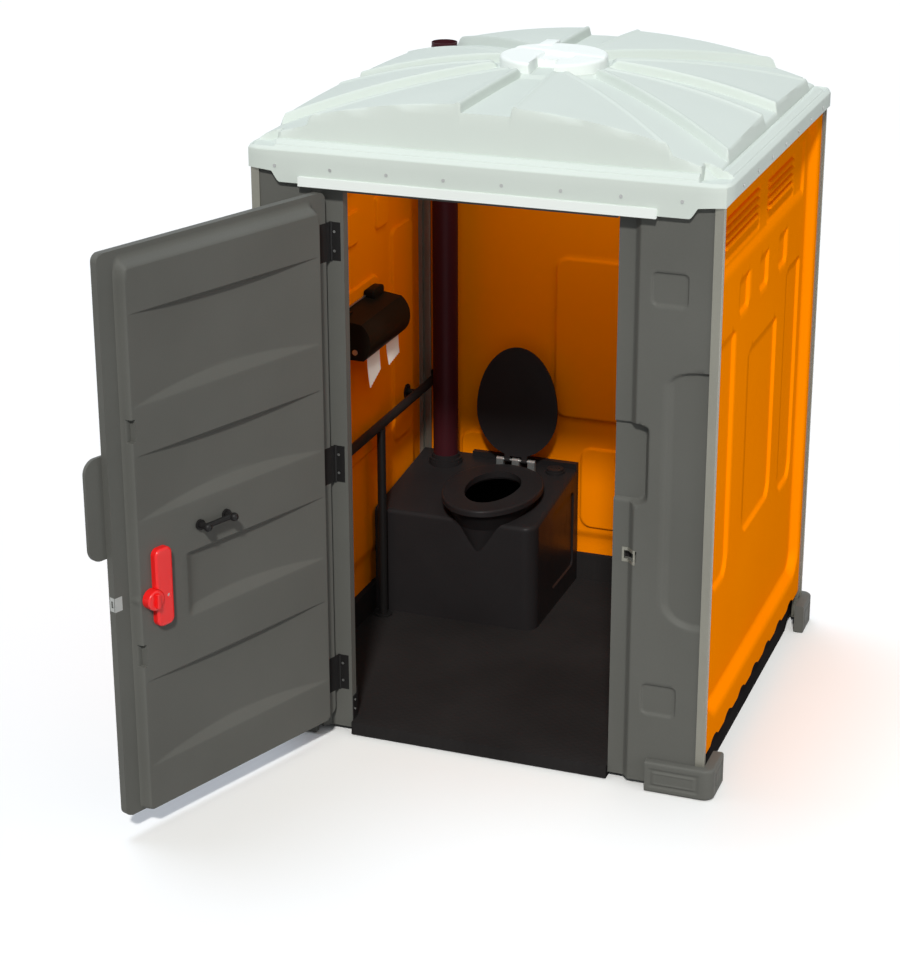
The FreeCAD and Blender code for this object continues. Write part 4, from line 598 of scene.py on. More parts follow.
def make_piece(name: str, shapes: Sequence[Skin], finish: Finish, nodes: Sequence[str] = (),
               body: str = "cabin") -> None:
    """Make one object of closed skins, with its faces outwards, and hide the nodes that it replaces.

    Args:
        name: Name of the piece.
        shapes: Points in millimetres and the corners of each face, one pair for each closed skin.
        finish: Its finish.
        nodes: Nodes that it replaces.
        body: The body that it rides on.
    """
    built = bmesh.new()
    for points, faces in shapes:
        part = bmesh.new()
        mesh = bpy.data.meshes.new("part")
        corners = [list(dict.fromkeys(face)) for face in faces.tolist()]
        mesh.from_pydata((points * MM).tolist(), [], [face for face in corners if len(face) > 2])
        part.from_mesh(mesh)
        bmesh.ops.remove_doubles(part, verts=part.verts, dist=WELD)
        bmesh.ops.delete(part, geom=[v for v in part.verts if not v.link_faces], context="VERTS")
        bmesh.ops.recalc_face_normals(part, faces=part.faces)
        if part.calc_volume(signed=True) < 0.0:
            bmesh.ops.reverse_faces(part, faces=part.faces)
        part.to_mesh(mesh)
        part.free()
        built.from_mesh(mesh)
        bpy.data.meshes.remove(mesh)
    mesh = bpy.data.meshes.new(name)
    built.to_mesh(mesh)
    built.free()
    mesh.shade_smooth()
    mesh.set_sharp_from_angle(angle=SHARP)
    mesh.materials.append(finish.material())
    piece = new_object(name, mesh)
    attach(piece, body)
    if nodes:
        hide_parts(*nodes)
    LOG.info("%s: %d faces", name, len(mesh.polygons))


@dataclass
class SideWalls:
    """The two side walls: u runs to the back, v up and w outwards, before the left one is mirrored."""

    half: float = 700.0
    bottom: float = 128.0
    top: float = 2036.0
    plane: float = 765.0
    sheet: float = 5.0
    scallop_pitch: float = 187.0
    scallop_radius: float = 80.0
    scallop_rise: float = 18.0
    scallop_fade: float = 90.0
    fields: tuple[Press, ...] = (
        Press(-680, 668, 226, 1962, 31, radius=104, drafts=(40, 30, 32, 30)),
        Press(-655, 618, 262, 1948, 12, radius=104, drafts=(20, 18, 44, 24)))
    presses: tuple[Press, ...] = (
        Press(-567, 590, 1690, 1892, 10, radius=20, drafts=(12, 12, 30, 8)),
        Press(-532, -34, 1726, 1884, 6, radius=12, drafts=(8, 14, 12, 6)),
        Press(62, 468, 1714, 1872, 6, radius=12, drafts=(8, 14, 12, 6)),
        *(Press(*edges, 11, radius=52, drafts=(10, 10, 16, 5)) for edges in
          ((-557, -353, 634, 1488), (-153, 249, 684, 1356), (378, 585, 634, 1480))),
        *(Press(*edges, 1508, 1638, 11, radius=24, drafts=(10, 10, 14, 5)) for edges in
          ((-317, -183), (-45, 83), (229, 359))))
    louvres: tuple[Floats, ...] = ((-512, -54, 1862), (80, 448, 1848))
    slots: int = 4
    pitch: float = 28.0
    slot: float = 12.0
    slot_gap: float = 1.0
    hood: float = 13.0
    hood_rise: float = 11.0
    hood_end: float = 12.0

    def hoods(self) -> list[Floats]:
        """Left end, right end and foot of every louvre hood."""
        return [(left, right, top - index * self.pitch)
                for left, right, top in self.louvres for index in range(self.slots)]

    def lines(self, main: Press) -> tuple[Array, Array]:
        """Grid lines that catch every press and louvre.

        Args:
            main: The wall's own field.

        Returns:
            The lines along u and along v.
        """
        across, along = gather((main, *self.presses))
        for left, right, foot in self.hoods():
            across += [(left, left + self.hood_end, 2), (right - self.hood_end, right, 2)]
            along += [(foot - self.slot, foot - self.slot_gap, 2), (foot, foot + self.hood_rise, 3)]
        return graded(-self.half, self.half, 17.0, across), graded(self.bottom, self.top, 19.0, along)

    def build(self) -> None:
        """Both walls; things are fixed to the left one, so its field lies less deep."""
        for name, side, main in zip(("right", "left"), (1.0, -1.0), self.fields):
            self.wall(name, side, main)

    def wall(self, name: str, side: float, main: Press) -> None:
        """Make one wall: w is the sum of the presses and of hoods that fall off in a quarter circle.

        The lower edge and what is near it are lifted in arches, one at each pitch.

        Args:
            name: Which wall it is.
            side: 1 for the right one, -1 for the left one.
            main: Its own field.
        """
        u_lines, v_lines = self.lines(main)
        u, v = grid(u_lines, v_lines)
        w = pressed((main, *self.presses), u, v)
        keep = np.ones((len(u_lines) - 1, len(v_lines) - 1), dtype=bool)
        for left, right, foot in self.hoods():
            ends = ease(np.minimum(u - left, right - u) / self.hood_end)
            w = w + self.hood * fall((v - foot) / self.hood_rise) * ends * (v >= foot - 0.01)
            keep &= ~cells_within(u_lines, v_lines, (left + self.hood_end, right - self.hood_end),
                                  (foot - self.slot, foot - self.slot_gap))
        away = np.abs((u + self.scallop_pitch / 2) % self.scallop_pitch - self.scallop_pitch / 2)
        arch = np.sqrt(np.maximum(self.scallop_radius ** 2 - away ** 2, 0.0))
        lift = np.maximum(arch - self.scallop_radius + self.scallop_rise, 0.0)
        raised = v + lift * np.clip(1.0 - (v - self.bottom) / self.scallop_fade, 0.0, 1.0)
        faces = [np.stack([side * (self.plane + w - back), u, raised], axis=-1)
                 for back in (0.0, self.sheet)]
        make_piece("side_wall_" + name, [shell(*faces, keep)], ORANGE, ["wall_" + name])


@dataclass
class BackWall:
    """The back wall: u runs to the left seen from the front, v up and w outwards."""

    half: float = 745.0
    bottom: float = 128.0
    top: float = 2036.0
    plane: float = 726.0
    sheet: float = 5.0
    presses: tuple[Press, ...] = (
        Press(-640, 640, 214, 1948, 12, radius=90, draft=36),
        Press(-590, 213, 706, 1345, 9, draft=10, radius=50),
        Press(330, 590, 264, 609, 9, draft=10, radius=50),
        Press(-590, 104, 264, 600, 9, draft=10, radius=50))

    def build(self) -> None:
        """One pressed sheet; w is the sum of the presses."""
        across, along = gather(self.presses)
        u, v = grid(graded(-self.half, self.half, 17.0, across),
                    graded(self.bottom, self.top, 20.0, along))
        w = pressed(self.presses, u, v)
        faces = [np.stack([-u, self.plane + w - back, v], axis=-1) for back in (0.0, self.sheet)]
        make_piece("rear_wall", [shell(*faces)], ORANGE, ["wall_back"])


@dataclass
class DoorSkin:
    """The door's inner skin; s runs from the hinge pin, z up and off out of the face."""

    pin: Floats = (-512.0, -703.4)
    open_angle: float = 110.4
    start: float = 24.0
    width: float = 975.0
    low: float = 80.0
    high: float = 1912.0
    corner: float = 26.0
    skin: float = 4.0
    raised: Press = Press(75, 917, 82, 1888, -38, radius=34, drafts=(15, 15, 9, 30))
    scoop_depth: float = 17.0
    scoop_run: float = 38.0
    scoop_lip: float = 14.0
    scoop_from: float = 92.0
    scoop_to: float = 900.0
    scoop_stop: float = 711.0
    scoops: tuple[Floats, ...] = ((1430, 1721), (1066, 1276), (688, 906), (239, 534))
    short_scoop: int = 2
    notches: tuple[Floats, ...] = ((1322, 1394), (586, 659))
    notch_depth: float = 22.0
    notch_from: float = 890.0
    latch: Floats = (878.0, 808.0)
    boss_radius: float = 37.0
    boss_height: float = 33.0
    boss_draft: float = 5.0
    boss_from: float = 880.0
    leaves: Floats = (1745.0, 985.0, 226.0)
    leaf_to: float = 66.0
    leaf_half: float = 64.2
    leaf_seat: float = 3.1
    plate_from: float = 945.5
    plate_half: float = 23.2
    plate_seat: float = 1.6

    def to_world(self, s: Array, off: Array | float, z: Array) -> Array:
        """Points of the open door: turned about the pin by the opening angle.

        Args:
            s: Distance from the pin along the door.
            off: Distance out of its face.
            z: Height.

        Returns:
            The points, with x, y and z last.
        """
        turn = -math.radians(self.open_angle)
        x = self.pin[0] + s * math.cos(turn) - off * math.sin(turn)
        y = self.pin[1] + s * math.sin(turn) + off * math.cos(turn)
        return np.stack([x, y, z], axis=-1)

    def scooped(self, s: Array, z: Array) -> Array:
        """Depth of the scoops: the least of a plan arc, the slopes from both edges and the end's slope.

        Args:
            s: Distance from the pin along the door.
            z: Height.

        Returns:
            How deep the panel lies under its own face.
        """
        middle = (self.scoop_from + self.scoop_to) / 2
        half = (self.scoop_to - self.scoop_from) / 2
        arc = (self.scoop_depth + 1.0) * (1.0 - ((s - middle) / half) ** 2)
        slope = self.scoop_depth / self.scoop_run
        total = np.zeros_like(s)
        for index, (low, high) in enumerate(self.scoops):
            lip = (high - z) * self.scoop_depth / self.scoop_lip
            depth = least(arc, lip, (z - low) * slope)
            if index == self.short_scoop:
                depth = soft_min(depth, (self.scoop_stop - s) * slope, 8.0)
            total = np.maximum(total, depth)
        return total

    def lines(self) -> tuple[Array, Array]:
        """Grid lines along s and z that catch the panel, scoops, notches, leaves and latch plate."""
        across, along = self.raised.marks()
        for low, high in self.scoops:
            along += [(low - 2, low + 40, 14), (high - 17, high + 2, 10)]
        for low, high in self.notches:
            along += [(low - 1, low + 1.5, 2), (high - 1.5, high + 1, 2)]
        across += [(self.notch_from - 2, self.notch_from + 2, 2), (self.start, self.scoop_from, 14),
                   (self.scoop_stop - 34, self.scoop_stop + 2, 8), (self.scoop_to, self.scoop_to + 50, 14),
                   (self.leaf_to - 2, self.leaf_to + 0.5, 2),
                   (self.plate_from - 1, self.plate_from + 1.5, 2)]
        along += [(self.latch[1] - 40, self.latch[1] + 40, 26)]
        for z in self.leaves:
            along += [(z - 65.5, z - 63, 2), (z + 63, z + 65.5, 2)]
        return graded(self.start, self.width, 19.0, across), graded(self.low, self.high, 15.0, along)

    def build(self) -> None:
        """The skin: flange, raised panel, scoops, notches, the boss round the latch and the seats."""
        s, z = grid(*self.lines())
        face = -self.raised.depth
        off = soft_min(self.raised.height(s, z), face - self.scooped(s, z), 2.5)
        for low, high in self.notches:
            inside = (s > self.notch_from) & (z > low) & (z < high)
            off = np.where(inside, np.minimum(off, face - self.notch_depth), off)
        reach = np.hypot(s - self.latch[0], z - self.latch[1])
        boss = self.boss_height * ease((self.boss_radius - reach) / self.boss_draft)
        off = np.where(s > self.boss_from, np.maximum(off, boss), off)
        for height in self.leaves:
            off = np.where((s < self.leaf_to) & (np.abs(z - height) < self.leaf_half), -self.leaf_seat, off)
        plate = (s > self.plate_from) & (np.abs(z - self.latch[1]) < self.plate_half)
        off = np.where(plate, -self.plate_seat, off)
        s, z = round_corners(s, z, ((self.start + self.width) / 2, (self.low + self.high) / 2),
                             ((self.width - self.start) / 2, (self.high - self.low) / 2), self.corner)
        make_piece("door_inner_moulding", [shell(self.to_world(s, off, z), self.to_world(s, -self.skin, z))],
                   GREY, ["door_inner_skin"], body="door")


@dataclass
class LatchJamb:
    """The jamb on the latch side; u runs along X, v up and the face looks to the front."""

    inner: float = 443.0
    outer: float = 745.0
    low: float = 20.0
    high: float = 2036.0
    face: float = 726.0
    seat: float = 703.0
    back: float = 668.0
    thin_from: float = 570.0
    thin_back: float = 702.0
    least: float = 3.0
    seat_end: float = 494.0
    step: float = 24.0
    extra_v: Floats = (958.0, 962.0)
    pads: tuple[Press, ...] = (Press(554, 672, 1650, 1758, 6, draft=5, radius=18),
                               Press(554, 672, 266, 374, 6, draft=5, radius=18))
    bay: Press = Press(610, 830, 584, 1450, 14, radius=80, drafts=(20, 12, 16, 9))
    pull: Press = Press(380, 562, 984, 1262, 35, radius=34, drafts=(12, 20, 16, 10))
    strike: Press = Press(481, 523, 793, 823, 20, draft=1, radius=2)
    plate_u: Floats = (475.0, 478.0, 482.0, 488.0, 494.0, 500.0, 506.0, 512.0, 518.0, 521.0, 524.0)
    plate_v: Floats = (783.0, 786.0, 794.0, 801.0, 808.0, 815.0, 822.0, 830.0, 833.0)
    hole_u: Floats = (482.0, 518.0)
    hole_v: Floats = (794.0, 822.0)
    plate_faces: Floats = (2.2, -0.6)
    # Depths of the black sheet inside the hole: painted shade standing in for the dark pocket behind the
    # plate.
    shade_sheet_faces: Floats = (-15.0, -16.0)

    def build(self) -> None:
        """The moulding: the seat for the door, the step up to the face, and what is pressed into it."""
        small = (*self.pads, self.bay, self.strike)
        across, along = gather((*small, self.pull))
        across += [(self.seat_end - 2, self.seat_end + self.step + 2, 10),
                   (self.thin_from - 14, self.thin_from + 14, 2)]
        along += [(*self.extra_v, 4)]
        u, v = grid(graded(self.inner, self.outer, 12.0, across), graded(self.low, self.high, 16.0, along))
        behind = np.where(u < self.thin_from, self.back, self.thin_back)
        out = np.maximum(self.surface(u, v) + pressed(small, u, v), behind + self.least)
        faces = [np.stack([u, -depth, v], axis=-1) for depth in (out, behind)]
        make_piece("latch_jamb", [shell(*faces)], GREY, ["jamb_right"])
        self.plate()

    def surface(self, u: Array, v: Array) -> Array:
        """How far out the moulding stands before the small presses: seat, step, face and hand pull.

        Args:
            u: Distance along X.
            v: Height.

        Returns:
            Distance to the front of the cabin's middle.
        """
        step = np.clip((u - self.seat_end) / self.step, 0.0, 1.0)
        out = self.seat + (self.face - self.seat) * (0.6 * step + 0.4 * ease(step))
        return soft_min(out, self.face + self.pull.height(u, v), 3.0)

    def plate(self) -> None:
        """The strike plate: a bent frame that follows seat and step, round a hole, with a black sheet of
        painted shade inside the hole.
        """
        u_lines, v_lines = np.array(self.plate_u), np.array(self.plate_v)
        u, v = grid(u_lines, v_lines)
        out = self.surface(u, v)
        hole = cells_within(u_lines, v_lines, self.hole_u, self.hole_v)
        frame, shade_sheet = ([np.stack([u, -out - off, v], axis=-1) for off in levels]
                       for levels in (self.plate_faces, self.shade_sheet_faces))
        make_piece("strike_frame", [shell(*frame, ~hole)], POST_PAINTED_REFLECTION, ["strike_plate"])
        # A black sheet set in the pocket behind the hole: painted shade, not a real part.
        make_piece("strike_hole_painted_shade", [shell(*(face[2:6, 2:7] for face in shade_sheet))], BLACK)


@dataclass
class Roof:
    """The roof: a crowned top with eight channels, two ledges, corner pockets and a deep skirt."""

    half_x: float = 790.0
    half_y: float = 745.0
    corner: float = 38.0
    edge_radius: float = 3.0
    ledge: float = 2050.0
    upper_ledge: float = 2066.0
    crown_top: float = 2234.0
    drop_side: float = 106.0
    drop_end: float = 20.0
    reach: float = 700.0
    channel_depth: float = 27.0
    channel_from: float = 170.0
    channel_inner: float = 104.0
    channel_outer: float = 168.0
    wall_run: float = 7.0
    bead: float = 4.5
    bead_width: float = 20.0
    ring: float = 198.0
    ring_drop: float = 18.0
    bevels: tuple[Floats, ...] = ((0.0, 14.0, 12.0), (15.0, 18.0, 4.0), (19.0, 36.0, 12.0))
    face_from: float = 48.0
    face_runs: Floats = (0.20, 0.14)
    core: float = 0.177
    pocket_reach: float = 97.5
    pocket_rim: float = 14.0
    pocket_wall: float = 7.0
    pocket_floor: float = 2044.0
    spans: tuple[int, ...] = (2, 3, 8, 4, 5, 8, 5, 4, 5)
    insets: Floats = (108, 104, 101.5, 99, 97, 95, 93, 91, 87, 81, 76, 71, 67, 63, 59, 55, 51.5, 48, 45,
                      40, 36, 32, 28, 24, 19, 18, 16.5, 15, 14, 11, 8, 5, 3, 1.9, 1.0, 0.4, 0.0)
    skirt_front: float = 1936.0
    skirt_corner: float = 1975.0
    skirt_side: float = 1989.0
    skirt_step: Floats = (668.0, 704.0, 768.0)
    front_band: float = 22.0
    wall: float = 14.6
    ceiling_gap: float = 12.0
    crown_gap: float = 9.0
    crown_from: float = 0.955
    crown_run: float = 0.055
    pocket_shares: Floats = (0.985, 0.96)

    def edge_distance(self, x: Array, y: Array) -> Array:
        """Distance in from the roof's plan edge, a round rectangle.

        Args:
            x: Distance to the right of the middle.
            y: Distance behind it.

        Returns:
            The distance, positive inside.
        """
        a = np.abs(x) - (self.half_x - self.corner)
        b = np.abs(y) - (self.half_y - self.corner)
        outside = np.hypot(np.maximum(a, 0.0), np.maximum(b, 0.0))
        return self.corner - outside - np.minimum(np.maximum(a, b), 0.0)

    def crown(self, x: Array, y: Array) -> Array:
        """Height of the crown: an arc of side radius swept along an arc of end radius."""
        side, end = ((self.reach ** 2 + drop ** 2) / (2 * drop) for drop in (self.drop_side, self.drop_end))
        return self.crown_top - (side - np.sqrt(side ** 2 - x ** 2)) - (end - np.sqrt(end ** 2 - y ** 2))

    def half_channel(self, along: Array) -> Array:
        """Half the width of a channel at a distance from the roof's middle."""
        grown = (along - self.channel_from) / (self.reach - self.channel_from)
        return (self.channel_inner + (self.channel_outer - self.channel_inner) * grown) / 2

    def relief(self, x: Array, y: Array) -> Array:
        """What channels and beads add: wedges with sloping walls, and a bead along each wall's top.

        Args:
            x: Distance to the right of the middle.
            y: Distance behind it.

        Returns:
            The height to add to the crown's.
        """
        groove, bead = np.zeros_like(x), np.zeros_like(x)
        slant = math.atan2(self.half_y, self.half_x)
        quarter = math.pi / 2
        for angle in (0.0, slant, quarter, math.pi - slant, math.pi, math.pi + slant, 3 * quarter, -slant):
            along = x * math.cos(angle) + y * math.sin(angle)
            over = np.abs(y * math.cos(angle) - x * math.sin(angle)) - self.half_channel(along)
            start = ease((along - self.channel_from + 20.0) / 20.0)
            groove = np.maximum(groove, ease(0.5 - over / self.wall_run) * start)
            top = over - self.wall_run / 2
            crest = ease(top / 4.0) * ease((self.bead_width - top) / 10.0)
            bead = np.maximum(bead, crest * ease((along - self.channel_from - 20.0) / 12.0))
        return self.bead * bead * (1.0 - groove) - self.channel_depth * groove

    def height(self, x: Array, y: Array) -> Array:
        """The top: bevelled ledges, the dome's steep faces and the grooved crown, with rounded joins.

        Args:
            x: Distance to the right of the middle.
            y: Distance behind it.

        Returns:
            The height above the ground.
        """
        inset = self.edge_distance(x, y)
        run = np.where(np.abs(x) / self.half_x > np.abs(y) / self.half_y, *self.face_runs)
        riser = np.full_like(inset, self.ledge - self.bevels[0][2])
        for start, end, rise in self.bevels:
            riser = riser + rise * np.clip((inset - start) / (end - start), 0.0, 1.0)
        face = self.upper_ledge + (inset - self.face_from) / run
        outside = ease((np.hypot(x, y) - self.ring + 8.0) / 12.0)
        crown = self.crown(x, y) + self.relief(x, y) * outside - self.ring_drop * (1.0 - outside)
        top = np.maximum(riser, soft_min(crown, face, 9.0))
        inside = np.minimum(np.abs(x) - self.half_x, np.abs(y) - self.half_y) + self.pocket_reach
        share = ease(np.minimum(inside, inset - self.pocket_rim) / self.pocket_wall + 0.5)
        top = top + (self.pocket_floor - top) * share
        return top - self.edge_radius * (1.0 - fall(1.0 - inset / self.edge_radius))

    def rows(self) -> Array:
        """Half widths of the top's rows along X and Y: even, then close together over the ledges."""
        insets = np.array(self.insets)
        size = np.array([self.half_x, self.half_y])
        inner = size * self.core
        share = np.concatenate([np.linspace(0.0, 0.07, 8), np.linspace(0.09, 1.0, 40)[:-1]])[:, None]
        return np.concatenate([inner + (size - insets[0] - inner) * share, size - insets[:, None]])

    def quarter(self, out: Array, diagonal: Array, turn: float, edge: float) -> tuple[Array, Array]:
        """Plan points of one side's share of the top: rows by columns, out and along the side.

        The columns run from one diagonal to the other and follow the walls of the channels, so
        that each wall lies between two of them.

        Args:
            out: How far out each row lies.
            diagonal: How far along the side each row ends.
            turn: The diagonal channel's angle from the way out.
            edge: Where the corner pocket's inner wall cuts the side.

        Returns:
            How far out and how far along each point lies.
        """
        wall, half_wall = self.wall_run / 2, self.pocket_wall / 2
        slant = self.half_channel(out / math.cos(turn))
        straight = self.half_channel(out)
        middle = out * math.tan(turn)
        slanted = [(slant + past) / math.cos(turn) - middle
                   for past in (-wall, wall, wall + self.bead_width)]
        far, near = self.pocket_shares
        anchors = np.concatenate([
            -diagonal, -np.minimum(edge + half_wall, far * diagonal),
            -np.minimum(edge - half_wall, near * diagonal), *slanted,
            -straight - wall - self.bead_width, -straight - wall, -straight + wall, 0.0 * out], axis=1)
        anchors = np.minimum(np.maximum.accumulate(anchors, axis=1), 0.0)
        columns = [anchors[:, i:i + 1] + (anchors[:, i + 1:i + 2] - anchors[:, i:i + 1]) * np.arange(n) / n
                   for i, n in enumerate(self.spans)]
        half = np.concatenate(columns, axis=1)
        along = np.concatenate([half, 0.0 * out, -half[:, ::-1]], axis=1)
        return np.broadcast_to(out, along.shape), along

    def skirt_bottom(self, x: Array, y: Array) -> Array:
        """Lower edge of the skirt: deep along the front, with an easy step up near each corner.

        Args:
            x: Distance to the right of the middle.
            y: Distance behind it.

        Returns:
            The height above the ground.
        """
        front = y < -self.half_y + self.front_band
        start, end, corner = self.skirt_step
        rise = ease((np.abs(x) - start) / (end - start))
        deep = self.skirt_front + (self.skirt_corner - self.skirt_front) * rise
        plain = np.where(front, self.skirt_corner, self.skirt_side)
        return np.where(front & (np.abs(x) < corner), deep, plain)

    def top(self) -> Array:
        """Rings of the top from the middle out: four sides' points, each turned into its place."""
        sides = []
        size = (self.half_x, self.half_y)
        rows = self.rows()
        for index in range(4):
            here, there = index % 2, 1 - index % 2
            out, along = self.quarter(rows[:, here:here + 1], rows[:, there:there + 1],
                                      math.atan2(size[there], size[here]), size[there] - self.pocket_reach)
            x, y = ((out, along), (-along, out), (-out, -along), (along, -out))[index]
            sides.append(np.stack([x, y], axis=-1)[:, :-1])
        plan = np.concatenate(sides, axis=1)
        x, y = round_corners(plan[..., 0], plan[..., 1], (0.0, 0.0), size, self.corner)
        return np.stack([x, y, self.height(x, y)], axis=-1)

    def build(self) -> None:
        """One closed skin: rings from the middle out over the top, down the skirt and back inside."""
        top = self.top()
        edge = top[-1]
        bottom = self.skirt_bottom(edge[:, 0], edge[:, 1])
        rim = self.ledge - self.bevels[0][2] - self.edge_radius
        rings = [ring(edge, rim - (rim - bottom) * share) for share in (0.3, 0.6, 0.96, 1.0)]
        inner = edge[:, :2] * np.array([1.0 - self.wall / self.half_x, 1.0 - self.wall / self.half_y])
        ceiling = self.ledge - self.ceiling_gap
        rings += [ring(inner, bottom + (ceiling - bottom) * share) for share in (0.0, 0.5, 1.0)]
        low_crown = self.channel_depth + self.crown_gap
        for share in (self.crown_from, 0.93, 0.90, 0.85, 0.75, 0.6, 0.45, 0.3, 0.15, 0.05):
            flat = inner * share
            crown = self.crown(flat[:, 0], flat[:, 1]) - low_crown
            rise = float(ease(np.array((self.crown_from - share) / self.crown_run)))
            rings.append(ring(flat, ceiling + (crown - ceiling) * rise))
        make_piece("roof_moulding", [swept(np.concatenate([top, np.stack(rings)]))], ROOF, ["roof_shell"])


@dataclass
class RoofCap:
    """The cap over the roof's middle: a round plateau with a notch, a dish, a step and a tab."""

    reach: float = 180.0
    edge: float = 12.0
    drop: float = 10.0
    top: float = 2249.0
    floor: float = 2194.0
    foot: float = 2190.0
    notch_depth: float = 60.0
    dish_depth: float = 9.0
    step: float = 4.0
    tab: tuple[Floats, ...] = ((-95, 112), (-47, 112), (-47, 214), (-95, 214))
    tab_rings: tuple[Floats, ...] = ((0.90, 2200.0), (1.0, 2200.0), (1.0, 2252.0), (0.96, 2255.0),
                                     (0.90, 2256.0))

    def height(self, x: Array, y: Array) -> Array:
        """The plateau: its rim falls in a quarter circle over the edge.

        The notch and the dish are each bounded by straight lines, and are as deep as the distance in
        from the nearest one allows. The notch runs from the dish out through the rim, to the front.
        The half behind the step stands higher.

        Args:
            x: Distance to the right of the middle.
            y: Distance behind it.

        Returns:
            The height above the ground.
        """
        rim = fall((np.hypot(x, y) - self.reach + self.edge) / self.edge)
        notch = least(x + 46.0 + 0.10 * y, 24.0 - 0.18 * y - x, -48.0 - y)
        dish = least(x + 44.0, 72.0 - x, y + 66.0, 30.0 - 0.25 * x - y)
        cut = ease(notch / 4.0)
        z = self.top - self.drop * (1.0 - rim) - self.notch_depth * cut
        z = z - self.dish_depth * ease(dish / 6.0) * (1.0 - cut)
        return np.maximum(z + self.step * ease((y - 34.0 + 0.25 * x) / 5.0) * rim, self.floor)

    def build(self) -> None:
        """The plateau's rings from its foot to its middle, and the tab behind it."""
        radii = np.concatenate([[0.0], np.linspace(5, 156, 44), np.linspace(160, self.reach, 10)])
        turns = np.linspace(0, 2 * math.pi, 181)[:-1]
        r, turn = grid(radii, turns)
        x, y = r * np.cos(turn), r * np.sin(turn)
        rings = np.stack([x, y, self.height(x, y)], axis=-1)[::-1]
        low = ring(rings[0], self.foot)
        tab = np.array(self.tab, dtype=float)
        middle = tab.mean(axis=0)
        levels = [ring(middle + (tab - middle) * share, level) for share, level in self.tab_rings]
        make_piece("roof_cap", [swept(np.concatenate([low[None], rings[:-1]])), swept(np.stack(levels))],
                   TRIM, ["roof_ring", "roof_lens"])


@dataclass
class Fittings:
    """Small things inside: the posts' inner flanges, the dispenser's upper lug and the paper's ends."""

    flange: Floats = (716.0, 746.0, 711.0, 720.0, 130.0, 2034.0)
    lug: tuple[Floats, Floats] = ((-737.0, 92.0, 1296.0), (-694.0, 192.0, 1332.0))
    paper_plane: float = -631.0
    paper_top: float = 1198.0
    paper_thickness: float = 0.6
    paper: tuple[Floats, ...] = ((-138.0, -22.0, 1046.0, 0.30), (40.0, 158.0, 1076.0, 0.10))
    tooth: float = 9.0
    tooth_depth: float = 5.0
    curl: float = 11.0

    def build(self) -> None:
        """Flanges for both back posts, the lug and two sheets of paper."""
        near, far, front, rear, low, high = self.flange
        for name, left, right in (("left", -far, -near), ("right", near, far)):
            make_piece("post_flange_" + name, [block((left, front, low), (right, rear, high), 2.5)], POST_PAINTED_REFLECTION)
        make_piece("dispenser_lug", [block(*self.lug, 9.0)], SMOKE)
        self.tails()

    def tails(self) -> None:
        """The paper's free ends: z falls to a saw-toothed, slanting edge, x swells out to it."""
        sheets = []
        for left, right, low, slant in self.paper:
            across, down = grid(np.linspace(left, right, 53), np.linspace(0.0, 1.0, 16))
            teeth = np.abs(((across - left) / self.tooth) % 2.0 - 1.0) * self.tooth_depth
            edge = low + slant * (across - left) + teeth
            z = self.paper_top + (edge - self.paper_top) * down
            x = self.paper_plane + self.curl * down ** 2 * (1.0 - 0.6 * (across - left) / (right - left))
            sheets.append(shell(*[np.stack([x + off, across, z], axis=-1)
                                  for off in (self.paper_thickness, 0.0)]))
        make_piece("paper_ends", sheets, TISSUE, ["paper_tails"])


